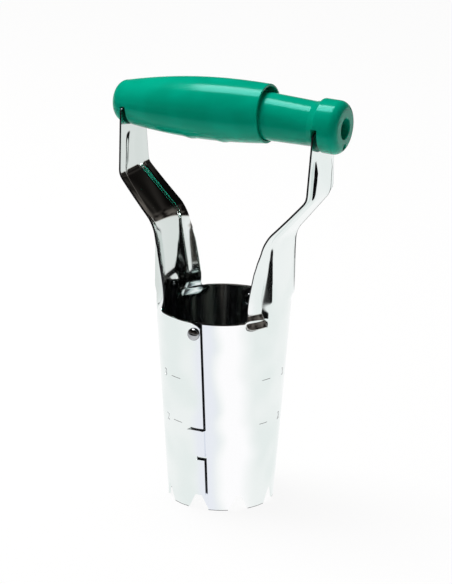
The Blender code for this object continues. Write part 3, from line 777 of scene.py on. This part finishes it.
    def arm_point(self, station: tuple[Vector, float], column: float, side: Side) -> Vector:
        """Point of the arm's outer face."""
        place, lean = station
        y = self.place_at(column, place.z)
        curl = between(place.z, self.curl_heights, self.curls)
        bow = curl * (self.rim_radius - math.sqrt(self.rim_radius ** 2 - y ** 2))
        foot, crest = self.foot_and_crest(place.z)
        root = self.height + self.root_fillet
        pressed = between(place.z, (root, root + self.rib_ramp, *self.rib_fade), (0, 1, 1, 0), smooth)
        rise = between(place.z, self.rib_rise_heights, self.rib_rises)
        web = rise + bow * (1 - self.web_bow)
        offset = web * pressed * smooth((foot - y) / (foot - crest)) - bow - self.dent(column, place.z)
        return place + self.out(lean) * offset + Vector((0, side.value * y, 0))

    def heights(self, edge: float) -> list[float]:
        """Heights of one column's points, with a thin row along its toothed edge."""
        steps = [edge + (self.rows[0] - edge) * i / TOOTH_STEPS for i in range(1, TOOTH_STEPS)]
        return [edge, edge + self.burr] + steps + self.rows

    def wall_point(self, angle: float, z: float, side: Side) -> Vector:
        """Point of the outer wall at an angle from the arm."""
        radius = self.cone_radius(z)
        return Vector((radius * math.cos(angle), side.value * radius * math.sin(angle), z))

    def wall_columns(self) -> list[float]:
        """Columns of one side of the wall, counted in main columns."""
        made = self.arm_columns()
        for i in range(int(made[-1]), len(self.tips) - 1):
            width = self.rim_radius * abs(self.rims[i + 1] - self.rims[i])
            count = max(2, math.ceil(width / self.column_step))
            made += [i + j / count for j in range(1, count + 1)]
        return made

    def wall_column(self, column: float, side: Side) -> list[Vector]:
        """Points of one column of the wall, from the toothed edge to the rim."""
        tip, rim = along(self.tips, column), along(self.rims, column)
        if column <= self.arm_columns()[-1]:
            rim = math.asin(self.place_at(column, self.height) / self.rim_radius)
        heights = self.heights(self.tooth_edge(tip))
        points = [self.wall_point(tip + (rim - tip) * z / self.height, z, side) for z in heights]
        for point in points:
            inward = self.dent(column, point.z) / self.cone_radius(point.z)
            point.x -= point.x * inward
            point.y -= point.y * inward
        return points

    def seam_stops(self) -> list[Row]:
        """(reach at the tip, reach at the rim, inset, tooth edge, drop at the rim) of the seam's main columns."""
        apex = self.tip_radius * math.sin(self.apex_share * self.pitch)
        mouth = self.tip_radius * math.sin(self.mouth_share * self.pitch)
        deep, step = self.notch_depth, self.lap_step
        if self.seam is Seam.OUTER_LAP:
            return [(mouth, mouth, 0, 0, 0), (apex, apex, 0, deep, 0),
                    (-self.seam_middle, -self.seam_middle, 0, deep, self.lap_corner_drop / 2),
                    (-self.lap_at_tip, -self.lap_at_rim, 0, deep, self.lap_corner_drop)]
        tip, rim = self.lap_at_tip + self.seam_gap, self.lap_at_rim + self.seam_gap
        return [(tip + self.joggle_run, rim + self.joggle_run, 0, 0, 0), (tip, rim, step, 0, 0),
                (apex, apex, step, deep, 0),
                (-self.seam_middle, -self.seam_middle, step, deep, self.flange_corner_drop / 2),
                (-self.flange_reach, -self.flange_reach, step, deep, self.flange_corner_drop)]

    def seam_column(self, place: float, side: Side) -> list[Vector]:
        """Points of one column of the seam, from the toothed edge to the rim."""
        tips, rims, insets, edges, drops = zip(*self.seam_stops())
        tip, rim, edge, drop = (along(values, place) for values in (tips, rims, edges, drops))
        inset = along(insets, smooth(place) if place < 1 else place)
        points = []
        for z in self.heights(edge):
            reach = tip + (rim - tip) * z / self.height
            on_finger = self.finger_low - 1e-6 <= z <= self.finger_high + 1e-6
            if self.seam is Seam.INNER_FLANGE and on_finger:
                points.append(self.finger_point(place, z, side))
                continue
            fall = drop * smooth((z - self.corner_start) / (self.height - self.corner_start))
            radius = self.cone_radius(z) - inset
            points.append(Vector((reach, side.value * math.sqrt(radius ** 2 - reach ** 2), z - fall)))
        return points

    def lap_reach(self, z: float) -> float:
        """How far the lap's edge stands from the seam's middle at a height."""
        return self.lap_at_tip + (self.lap_at_rim - self.lap_at_tip) * z / self.height

    def finger_point(self, place: float, z: float, side: Side) -> Vector:
        """Point of the finger, a straight tab over the other half's lap, with rounded corners."""
        start = self.lap_reach(z) + self.seam_gap
        reaches = (start + self.joggle_run, start, self.seam_middle, -self.seam_middle, -self.finger_reach)
        x = along(reaches, place)
        left = max(self.finger_corner - (x + self.finger_reach), 0.0)
        lift = self.finger_corner - math.sqrt(max(self.finger_corner ** 2 - left ** 2, 0.0))
        middle = (self.finger_low + self.finger_high) / 2
        half = (self.finger_high - self.finger_low) / 2
        risen = smooth(place)
        y = math.sqrt(self.cone_radius(z) ** 2 - x ** 2) * (1 - risen)
        y += (self.cone_radius(z) + self.finger_lift) * risen
        return Vector((x, side.value * y, middle + (z - middle) * (1 - lift / half)))

    def in_crevice(self, place: Vector) -> bool:
        """Whether a place lies on the flange behind the lap, beside the seam's gap."""
        reach = self.lap_reach(place.z) + self.seam_gap
        on_finger = self.finger_low - self.finger_margin < place.z < self.finger_high + self.finger_margin
        near = place.x < reach + self.joggle_run * self.crevice_lip and abs(place.y) > self.rim_radius / 2
        return near and self.notch_depth + self.crevice_margin < place.z < self.height and not on_finger

    def seam_places(self) -> list[float]:
        """Columns of the seam, counted in main columns."""
        stops = self.seam_stops()
        made = [i / JOGGLE_STEPS for i in range(JOGGLE_STEPS + 1)]
        for i in range(1, len(stops) - 1):
            count = max(2, math.ceil(abs(stops[i][1] - stops[i + 1][1]) / self.seam_step))
            made += [i + j / count for j in range(1, count + 1)]
        return made

    def add_face(self, bm: bmesh.types.BMesh, verts: Sequence[bmesh.types.BMVert],
                 side: Side) -> bmesh.types.BMFace:
        """A face that looks outwards on either side of the arm."""
        return bm.faces.new(verts if side is Side.BACK else tuple(reversed(verts)))

    def add_side(self, bm: bmesh.types.BMesh, side: Side) -> None:
        """Adds the wall, the seam and the arm on one side of the arm's middle."""
        columns = [self.wall_column(c, side) for c in self.wall_columns()]
        joggle, first = len(columns), TOOTH_STEPS + 1
        columns += [self.seam_column(place, side) for place in self.seam_places()]
        made = [[bm.verts.new(point) for point in points] for points in columns]
        finger = self.seam is Seam.INNER_FLANGE
        for i, (a, b) in enumerate(zip(made, made[1:])):
            for j in range(len(a) - 1):
                z = (self.rows[j - first] + self.rows[j - first + 1]) / 2 if j >= first else 0
                in_slit = (self.finger_low - self.finger_foot_slit < z < self.finger_low
                           or self.finger_high < z < self.finger_high + self.finger_slit)
                if finger and i >= joggle and in_slit:
                    continue
                face = self.add_face(bm, (a[j], b[j], b[j + 1], a[j + 1]), side)
                # The thin row along the toothed edge takes the slot of painted edge shade.
                face.material_index = EDGE_SHADE_SLOT if j == 0 else FACE
        below = [made[i][-1] for i in range(len(self.arm_columns()))]
        for station in self.stations():
            above = [bm.verts.new(self.arm_point(station, c, side)) for c in self.arm_columns()]
            for i in range(len(above) - 1):
                self.add_face(bm, (below[i], below[i + 1], above[i + 1], above[i]), side)
            below = above

    def skin(self) -> Piece:
        """The stamping's sheet, without its holes."""
        bm = bmesh.new()
        for side in Side:
            self.add_side(bm, side)
        bmesh.ops.remove_doubles(bm, verts=bm.verts, dist=0.000002)
        bmesh.ops.dissolve_degenerate(bm, edges=bm.edges, dist=0.000001)
        if self.hand is Hand.LEFT:
            bmesh.ops.scale(bm, vec=(-1, 1, 1), verts=bm.verts)
            bmesh.ops.reverse_faces(bm, faces=bm.faces)
        shell = mesh_object(self.hand.name.lower() + "_half_stamping", bm)
        for slot in ("sheet", "edge"):
            shell.data.materials.append(bpy.data.materials.new(slot))
        wall = shell.modifiers.new("sheet", "SOLIDIFY")
        wall.thickness = self.sheet
        wall.offset = -1
        wall.use_even_offset = True
        # The sheet's cut edges take the slot of painted edge shade.
        wall.material_offset_rim = EDGE_SHADE_SLOT
        applied(shell)
        return shell

    def mark_edges(self, mesh: bpy.types.Mesh) -> None:
        """Levels the teeth, keeps the painted edge shade off the plain edges and paints shade on the flange in the
        crevice.
        """
        for vert in mesh.vertices:
            vert.co.z = max(vert.co.z, 0.0)
        for polygon in mesh.polygons:
            if any(low < polygon.center.z < high for low, high in self.plain_edges):
                polygon.material_index = FACE
            # Painted shade: the flange in the crevice behind the lap takes the near-black colour.
            if self.seam is Seam.INNER_FLANGE and self.in_crevice(polygon.center):
                polygon.material_index = EDGE_SHADE_SLOT

    def cutters(self) -> list[Piece]:
        """Cutters of the rivets' bores, the pin's hole and the notch at the finger's foot."""
        bores = rod("bores", Vector((0, 1, 0)), -self.bore_reach, self.bore_reach, self.rivet_bore_radius)
        bores.data.transform(Matrix.Translation((0, 0, self.rivet_height)))
        hole = rod("hole", Vector((1, 0, 0)), -self.hole_reach, self.hole_reach, self.pin_hole_radius)
        middle = self.hand.value * (self.top_point(self.pivot_height).x - self.sheet / 2)
        hole.data.transform(Matrix.Translation((middle, 0, self.pivot_height)))
        return [bores, hole] + ([slab("notch", *self.foot_notch)] if self.seam is Seam.OUTER_LAP else [])

    def build(self) -> Piece:
        """Makes the stamping with its wall, holes and rounded edges.

        Returns:
            The object, with its cut edges and its crevice in a second material slot, which holds their painted
            shade.
        """
        shell = self.skin()
        self.mark_edges(shell.data)
        machined(shell, self.cutters(), self.edge_rounding, 2, Matrix.Translation((AXIS_X, 0, 0)))
        shaded(shell, self.smoothing)
        return shell


# Handle


@dataclass
class Moulding:
    """A turned plastic piece of the handle, with its stations along X from its arm's pivot."""

    name: str
    tilt: float
    pivot: Pair
    pin_depth: float
    slot: Row
    pin_hole: Triple
    edge_rounding: float
    facets: int
    hole_facets: int = 40
    rounding_steps: int = 3

    def profile(self) -> list[Pair]:
        """Outline of the piece as (station, radius) points."""
        raise NotImplementedError

    def refine(self, mesh: bpy.types.Mesh) -> None:
        """Shapes the turned mesh further, where a piece needs it."""

    def build(self) -> Piece:
        """Makes the piece at its arm's pivot, with the arm's slot and the pin's hole.

        Returns:
            The object.
        """
        body = turned(self.name, self.profile(), Vector((1, 0, 0)), self.facets)
        self.refine(body.data)
        body.data.transform(Matrix.Translation((0, 0, self.pin_depth)))
        cutters = [slab("slot", *self.slot), rod("hole", Vector((1, 0, 0)), *self.pin_hole, self.hole_facets)]
        place = Matrix.Translation((AXIS_X + self.pivot[0], 0, self.pivot[1])) @ Matrix.Rotation(self.tilt, 4, "Y")
        machined(body, cutters, self.edge_rounding, self.rounding_steps, place)
        shaded(body)
        return body


@dataclass
class Grip(Moulding):
    """The barrel of the handle."""

    name: str = "handle_barrel"
    tilt: float = math.radians(-2.4)
    pivot: Pair = (-0.053875, 0.1986)
    pin_depth: float = 0.0075
    left_reach: float = 0.0080
    mouth: float = 0.0781
    belly: float = 0.0512
    belly_radius: float = 0.0162
    left_arc: float = 0.2820
    mouth_arc: float = 0.3450
    face_radius: float = 0.0045
    end_rounding: float = 0.0055
    mouth_rounding: float = 0.0004
    bore_radius: float = 0.01405
    bore_end: float = 0.0313
    spring_bore_radius: float = 0.0100
    spring_seat: float = 0.0087
    slot: Row = (-0.0011, -0.0182, 0.0018, 0.0071, 0.0182)
    pin_hole: Triple = (-0.0090, 0.0064, 0.0017)
    edge_rounding: float = 0.00035
    facets: int = 144
    skin_step: float = 0.0015
    ripple_from: float = 0.55
    ripple_clear: float = 0.0006
    ripple_stations: Row = (0.0160, 0.0360, 0.0545)
    ripple_height: float = 0.0005
    ripple_half_length: float = 0.0042

    def radius(self, station: float) -> float:
        """Outer radius at a station."""
        off = station - self.belly
        return self.belly_radius - off ** 2 / (2 * (self.left_arc if off < 0 else self.mouth_arc))

    def profile(self) -> list[Pair]:
        """Outline out along the skin and back along the bore."""
        shoulder = self.end_rounding - self.left_reach
        rise = self.radius(shoulder) - self.face_radius
        made = [(-self.left_reach, 0), (-self.left_reach, self.face_radius / 2)]
        made += rounded((shoulder, self.face_radius), self.end_rounding, rise, math.pi, math.pi / 2, 16)
        lip = self.mouth - self.mouth_rounding
        made += [(s, self.radius(s)) for s in refined([shoulder, self.belly, lip], self.skin_step)[1:]]
        made += rounded((lip, self.radius(lip) - self.mouth_rounding), self.mouth_rounding, self.mouth_rounding,
                        math.pi / 2, 0, 4)[1:]
        made += [(self.mouth, self.bore_radius), (self.bore_end, self.bore_radius),
                 (self.bore_end, self.spring_bore_radius), (self.spring_seat, self.spring_bore_radius),
                 (self.spring_seat, 0)]
        return made

    def refine(self, mesh: bpy.types.Mesh) -> None:
        """Raises the shallow ripples under the barrel, where the fingers lie."""
        for vert in mesh.vertices:
            out = math.hypot(vert.co.y, vert.co.z)
            if out < self.bore_radius + self.ripple_clear and vert.co.x > 0:
                continue
            under = smooth((-vert.co.z / max(out, 1e-9) - self.ripple_from) / (1 - self.ripple_from))
            for station in self.ripple_stations:
                near = smooth(1 - abs(vert.co.x - station) / self.ripple_half_length)
                lift = self.ripple_height * under * near
                vert.co.y += lift * vert.co.y / max(out, 1e-9)
                vert.co.z += lift * vert.co.z / max(out, 1e-9)


@dataclass
class Tube(Moulding):
    """The push tube with its collar and thumb cap."""

    name: str = "thumb_tube"
    tilt: float = math.radians(1.5)
    pivot: Pair = (0.053839, 0.1976)
    pin_depth: float = 0.0096
    inner: float = -0.0587
    taper: float = -0.0282
    inner_radius: float = 0.0122
    outer_radius: float = 0.0115
    edge_break: float = 0.0006
    wall: float = 0.0018
    eye_radius: float = 0.0050
    collar: float = -0.0042
    collar_radius: float = 0.0118
    cap: float = -0.0014
    cap_radius: float = 0.0138
    reach: float = 0.0121
    rounding: float = 0.0048
    back_rounding: float = 0.0014
    hole_radius: float = 0.0053
    plug: float = -0.0062
    slot: Row = (-0.0011, -0.0062, 0.0023, 0.0104, 0.0158)
    pin_hole: Triple = (-0.0036, 0.0130, 0.0017)
    edge_rounding: float = 0.00025
    facets: int = 128
    lead_in: float = 0.0005
    collar_lip: float = 0.0001
    collar_run: float = 0.0003
    cap_lip: float = 0.0002
    mouth_break: float = 0.0004

    def profile(self) -> list[Pair]:
        """Outline of the hollow wall, as a loop."""
        bore = self.inner_radius - self.wall
        back = (self.cap + self.back_rounding, self.cap_radius - self.back_rounding)
        front = (self.reach - self.rounding, self.cap_radius - self.rounding)
        return [
            (self.inner, self.eye_radius), (self.inner, self.inner_radius - self.edge_break),
            (self.inner + self.edge_break, self.inner_radius), (self.taper, self.inner_radius),
            (self.collar - self.lead_in, self.outer_radius), (self.collar, self.outer_radius + self.collar_lip),
            (self.collar + self.collar_run, self.collar_radius), (self.cap - self.collar_run, self.collar_radius),
            (self.cap, self.collar_radius + self.cap_lip),
            *rounded(back, self.back_rounding, self.back_rounding, math.pi, math.pi / 2, 8),
            *rounded(front, self.rounding, self.rounding, math.pi / 2, 0, 16),
            (self.reach, self.hole_radius + self.mouth_break), (self.reach - self.mouth_break, self.hole_radius),
            (self.plug, self.hole_radius), (self.plug, self.outer_radius - self.wall),
            (self.taper, bore), (self.inner + self.wall, bore), (self.inner + self.wall, self.eye_radius)]


@dataclass
class Spring:
    """The coil spring in the barrel, which shortens towards its left end as the tube slides in; the coil made here
    keeps the imported spring's shape.
    """

    node: str = "return_spring"
    fixed_end: Triple = (-0.0466, 0.0, 0.2073)
    free_end: float = -0.0089
    travel: float = 0.0118

    def build(self) -> Piece:
        """Makes the coil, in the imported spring's shape.

        Returns:
            The object.
        """
        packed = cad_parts[self.node]
        coil = link("coil_spring", packed.data.copy())
        shaded(coil)
        return coil

    def press(self, coil: Piece) -> None:
        """Gives the coil its own copy of its mesh; the coil keeps the imported shape."""
        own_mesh(coil)


# Rivets and depth marks


@dataclass
class Rivets:
    """The two pivot rivets, one turned shape set round the cylinder by Geometry Nodes."""

    count: int = 2
    height: float = RIVET_HEIGHT
    seat: float = 0.0351665
    inner: float = 0.0312665
    shank_radius: float = 0.0020
    head_radius: float = 0.0033
    head_height: float = 0.0019
    clinch_radius: float = 0.0032
    clinch_height: float = 0.0012
    dimple_radius: float = 0.0013
    dimple_depth: float = 0.0018
    facets: int = 56

    def profile(self) -> list[Pair]:
        """Outline from the bottom of the dimple to the top of the dome."""
        end = self.inner - self.clinch_height
        made = [(end + self.dimple_depth, 0), (end + self.dimple_depth, self.dimple_radius / 2)]
        made += [(end, self.dimple_radius)]
        lip = (self.clinch_radius + self.dimple_radius) / 2
        run = self.clinch_radius - lip
        made += rounded((end + run, lip), run, run, math.pi, math.pi / 2, 8)
        made += [(self.inner, self.clinch_radius), (self.inner, self.shank_radius), (self.seat, self.shank_radius)]
        dome = rounded((self.seat, 0), self.head_height, self.head_radius, math.pi / 2, 0, 12)
        return made + dome[:-1] + [(self.seat + self.head_height, 0)]

    def tree(self) -> CopyTree:
        """The tree that sets copies of a shape round the cylinder's axis."""
        ring = CopyTree("rivets round the rim", ["Height"])
        turn = ring.bench.signal("GeometryNodeInputIndex") * (math.tau / self.count)
        ring.spread(ring.given["Geometry"], ring.bench.vector(z=ring.given["Height"]), (0, 0, 0),
                    {"Rotation": ring.bench.vector(z=turn)})
        return ring

    def build(self, finish: bpy.types.Material) -> Piece:
        """Makes both rivets.

        Args:
            finish: Material of the rivets.

        Returns:
            One object with both.
        """
        rivets = turned("pivot_rivets", self.profile(), Vector((0, 1, 0)), self.facets)
        self.tree().run(rivets, {"Count": self.count, "Height": self.height, "Finish": finish})
        applied(rivets, Matrix.Translation((AXIS_X, 0, 0)))
        shaded(rivets)
        return rivets


@dataclass
class DepthMarks:
    """Raised ticks and digits of the depth scale on one half shell."""

    hand: Hand
    tick_start: float
    tick_sweep: float
    digit_angle: float
    heights: Row = (0.0470, 0.0715)
    digits: tuple[str, ...] = ("2", "3")
    digit_height: float = 0.0060
    relief: float = 0.00007
    bar_radius: float = 0.00014
    tip_radius: float = TIP_RADIUS
    taper: float = (RIM_RADIUS - TIP_RADIUS) / RIM_HEIGHT

    def tree(self) -> CopyTree:
        """The tree that sets curved ticks up the cylinder's wall."""
        ticks = CopyTree("depth ticks", ("First Height", "Spacing", "Start Angle", "Sweep", "Tip Radius",
                                         "Taper", "Bar Radius"))
        bench, given = ticks.bench, ticks.given
        arc = bench.make("GeometryNodeCurveArc", {"mode": "RADIUS"}, {
            "Resolution": 12, "Radius": given["Tip Radius"], "Start Angle": given["Start Angle"],
            "Sweep Angle": given["Sweep"]})
        ring = bench.make("GeometryNodeCurvePrimitiveCircle", {"mode": "RADIUS"}, {
            "Resolution": 8, "Radius": given["Bar Radius"]})
        bar = bench.make("GeometryNodeCurveToMesh", None, {
            "Curve": arc.outputs[0], "Profile Curve": ring.outputs[0], "Fill Caps": True})
        height = bench.part(bench.make("GeometryNodeInputPosition").outputs[0], 2)
        tip = Signal(bench, given["Tip Radius"])
        wider = (tip + height * given["Taper"]) / tip
        ticks.spread(bar.outputs[0], bench.vector(z=given["First Height"]), bench.vector(z=given["Spacing"]),
                     {"Scale": bench.vector(wider, wider, 1.0)})
        return ticks

    def wall_place(self, angle: float, z: float, out: float) -> Vector:
        """Point over the wall, at an angle from +X."""
        radius = self.tip_radius + self.taper * z + out
        return Vector((AXIS_X + radius * math.cos(angle), radius * math.sin(angle), z))

    def add_digits(self, bm: bmesh.types.BMesh) -> None:
        """Adds the digits, wrapped on the wall."""
        for height, digit in zip(self.heights, self.digits):
            text = bpy.data.curves.new("digit", "FONT")
            text.body = digit
            text.size = self.digit_height
            text.extrude = self.relief
            text.align_x = "CENTER"
            text.align_y = "CENTER"
            letter = link("digit", text)
            made = evaluated(letter)
            bpy.data.objects.remove(letter)
            bpy.data.curves.remove(text)
            for vert in made.vertices:
                x, y, z = vert.co
                radius = self.tip_radius + self.taper * (height + y)
                vert.co = self.wall_place(self.digit_angle + x / radius, height + y, z)
            bm.from_mesh(made)
            bpy.data.meshes.remove(made)

    def build(self, finish: bpy.types.Material) -> Piece:
        """Makes the ticks and digits.

        Args:
            finish: Material of the marks.

        Returns:
            One object with all of them.
        """
        bm = bmesh.new()
        ticks = link("ticks", bpy.data.meshes.new("ticks"))
        self.tree().run(ticks, {
            "Count": len(self.heights), "First Height": self.heights[0],
            "Spacing": self.heights[1] - self.heights[0], "Start Angle": self.tick_start,
            "Sweep": self.tick_sweep, "Tip Radius": self.tip_radius, "Taper": self.taper,
            "Bar Radius": self.bar_radius, "Finish": finish})
        applied(ticks, Matrix.Translation((AXIS_X, 0, 0)))
        bm.from_mesh(ticks.data)
        bpy.data.objects.remove(ticks)
        self.add_digits(bm)
        marks = mesh_object(self.hand.name.lower() + "_depth_marks", bm)
        shaded(marks)
        return marks


# Studio


@dataclass
class Studio:
    """Floor, lamps, surroundings and camera."""

    camera_place: Triple = (0.647551, -1.345812, 0.596490)
    yaw: float = math.radians(-25.722)
    pitch: float = math.radians(-18.002)
    roll: float = math.radians(0.852)
    focal_pixels: float = 3029.344
    sensor: float = 36.0
    floor_half: float = 6.0
    floor_colour: float = 0.90
    floor_glow: float = 0.92
    white_from: Pair = (-0.34, -0.27)
    dark_wedge: Pair = (-0.35, 0.25)
    dark_level: float = 0.004
    box_centre: Triple = (-0.42, 0.06, 1.5)
    box_size: Pair = (0.80, 0.72)
    box_power: float = 25.0
    fills: tuple[tuple[str, Triple, Pair, float], ...] = (
        ("front_fill", (1.6, -2.2, 1.6), (1.6, 1.2), 4.0), ("side_fill", (-2.0, -0.6, 1.4), (1.4, 1.2), 5.0))
    fill_aim: Triple = (0.0, 0.0, 0.1)
    wedge_soft: float = 0.1
    wedge_from: Pair = (0.34, 0.42)
    horizon: Pair = (-0.02, 0.06)
    patch_rises: Pair = (0.2, 0.5)
    patch_shares: Pair = (0.35, 0.7)
    patch_scale: float = 5.0
    dim_surroundings: float = 0.004
    diffuse_surroundings: float = 0.16
    patch_level: float = 0.16
    patch_tone: Triple = (1.0, 0.86, 0.78)

    def floor(self) -> None:
        """Adds the pale floor, which fades to white for the camera and in reflections."""
        bm = bmesh.new()
        bmesh.ops.create_grid(bm, x_segments=2, y_segments=2, size=self.floor_half)
        floor = mesh_object("studio_floor", bm)
        material = bpy.data.materials.new("studio floor")
        bench = cleared(material)
        place = bench.make("ShaderNodeTexCoord").outputs["Object"]
        depth = bench.part(place, 1)
        across = bench.part(place, 0) / depth.larger(0.001)
        low, high = self.dark_wedge
        wedge = across.eased(low - self.wedge_soft, low) * (1.0 - across.eased(high - self.wedge_soft, high))
        wedge = wedge * depth.eased(*self.wedge_from)
        path = bench.make("ShaderNodeLightPath")
        glow = Signal(bench, path.outputs["Is Camera Ray"]) * self.floor_glow
        plain = bench.make("ShaderNodeBsdfDiffuse", None, {"Color": (*(self.floor_colour,) * 3, 1)})
        white, dark = (bench.make("ShaderNodeEmission", None, {"Strength": level}).outputs[0]
                       for level in (1.0, self.dark_level))
        seen = bench.blend(glow, plain.outputs[0], white)
        mirrored = bench.blend(depth.eased(*self.white_from) * (1.0 - wedge), dark, white)
        both = bench.blend(path.outputs["Is Glossy Ray"], seen, mirrored)
        bench.make("ShaderNodeOutputMaterial", None, {"Surface": both})
        floor.data.materials.append(material)

    def lamp(self, name: str, place: Triple, aim: Triple, size: Pair, power: float, seen: bool) -> None:
        """Adds a rectangular lamp.

        Args:
            name: Name of the lamp.
            place: Where it stands.
            aim: The point that it faces.
            size: Its two sides.
            power: Its power in watts.
            seen: Whether reflections show it.
        """
        data = bpy.data.lights.new(name, "AREA")
        data.shape = "RECTANGLE"
        data.size, data.size_y = size
        data.energy = power
        lamp = link(name, data)
        direction = Vector(aim) - Vector(place)
        lamp.matrix_world = Matrix.Translation(place) @ direction.to_track_quat("-Z", "Y").to_matrix().to_4x4()
        lamp.visible_glossy = seen

    def surroundings(self) -> None:
        """Sets the world: white behind the floor, dim overhead in reflections, soft for diffuse light."""
        world = bpy.data.worlds.new("studio")
        bpy.context.scene.world = world
        bench = cleared(world)
        direction = bench.make("ShaderNodeTexCoord").outputs["Generated"]
        rise = bench.part(direction, 2)
        path = bench.make("ShaderNodeLightPath")
        camera = Signal(bench, path.outputs["Is Camera Ray"])
        diffuse = Signal(bench, path.outputs["Is Diffuse Ray"])
        high = rise.eased(*self.horizon)
        tone = bench.mix(high * (1.0 - camera), (1, 1, 1, 1), (*self.patch_tone, 1))
        patches = bench.signal("ShaderNodeTexNoise", None, {
            "Vector": direction, "Scale": self.patch_scale, "Detail": 1.0})
        patches = (1.0 - rise.eased(*self.patch_rises)) * patches.eased(*self.patch_shares)
        dim = patches * self.patch_level + self.dim_surroundings
        mirrored = 1.0 - high * (1.0 - dim)
        level = camera + (1.0 - camera) * (diffuse * self.diffuse_surroundings + (1.0 - diffuse) * mirrored)
        sky = bench.make("ShaderNodeBackground", None, {"Color": tone, "Strength": level})
        bench.make("ShaderNodeOutputWorld", None, {"Surface": sky.outputs[0]})

    def camera(self) -> None:
        """Adds the camera where the photograph was taken from."""
        data = bpy.data.cameras.new("camera")
        data.sensor_fit = "AUTO"
        data.sensor_width = self.sensor
        data.lens = self.focal_pixels * self.sensor / max(IMAGE_SIZE)
        data.clip_start, data.clip_end = 0.01, 50.0
        camera = link("camera", data)
        forward = Vector((math.sin(self.yaw) * math.cos(self.pitch), math.cos(self.yaw) * math.cos(self.pitch),
                          math.sin(self.pitch)))
        right = Vector((math.cos(self.yaw), -math.sin(self.yaw), 0))
        up = right.cross(forward)
        c, s = math.cos(self.roll), math.sin(self.roll)
        axes = Matrix((c * right + s * up, c * up - s * right, -forward)).transposed().to_4x4()
        camera.matrix_world = Matrix.Translation(self.camera_place) @ axes
        bpy.context.scene.camera = camera

    def build(self) -> None:
        """Sets the whole studio."""
        self.camera()
        self.floor()
        self.lamp("top_softbox", self.box_centre, (self.box_centre[0], self.box_centre[1], 0), self.box_size,
                  self.box_power, True)
        for name, place, size, power in self.fills:
            self.lamp(name, place, self.fill_aim, size, power, False)
        self.surroundings()
        bpy.context.scene.view_settings.view_transform = "Standard"
        log.info("studio ready")


def main() -> None:
    """Builds and dresses every piece, and sets the studio."""
    logging.basicConfig(level=logging.INFO, format="%(name)s: %(message)s")
    # edge is the near-black painted shade for the sheets' cut edges and crevice.
    sheet, edge, rivet, wire, plastic, mark = (finish.build() for finish in (
        PLATED_SHEET, EDGE_AND_CREVICE_SHADE, RIVET_STEEL, DRAWN_WIRE, GREEN_PLASTIC, MARK_STEEL))
    left = HalfShell(Hand.LEFT, Seam.OUTER_LAP).build()
    dressed(left, "left_half", (sheet, edge), ["left_half_shell"])
    right = HalfShell(Hand.RIGHT, Seam.INNER_FLANGE, pivot_height=0.1976, web_bow=0.45,
                      rib_foot=(0.0145, 0.0112, 0.0104, 0.0098), rib_crest=(0.0135, 0.0101, 0.0092, 0.0086),
                      rib_rises=(0.0003, 0.0015, 0.0020, 0.0003)).build()
    dressed(right, "right_half", (sheet, edge), ["right_half_shell"])
    rivets = Rivets().build(rivet)
    dressed(rivets, "left_half", (rivet,), ["front_pivot_rivet", "back_pivot_rivet"])
    dressed(Grip().build(), "barrel", (plastic,), ["grip_barrel"])
    dressed(Tube().build(), "tube", (plastic,), ["push_tube"])
    for hand, start, sweep, digit in ((Hand.LEFT, -117.5, 11.5, -128), (Hand.RIGHT, -25.5, 10, 6.5)):
        marks = DepthMarks(hand, math.radians(start), math.radians(sweep), math.radians(digit))
        dressed(marks.build(mark), hand.name.lower() + "_half", (mark,))
    spring = Spring()
    coil = spring.build()
    dressed(coil, "barrel", (wire,), [spring.node])
    spring.press(coil)
    for node in ("left_arm_pin", "right_arm_pin"):
        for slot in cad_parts[node].material_slots:
            slot.material = wire
        log.info("%s: packed shape with the wire's finish", node)
    Studio().build()


def plain(box: Sequence[Sequence[float]]) -> list[list[float]]:
    """A box as plain lists of numbers."""
    return [[float(value) for value in corner] for corner in box]


if __name__ == "__main__":
    main()
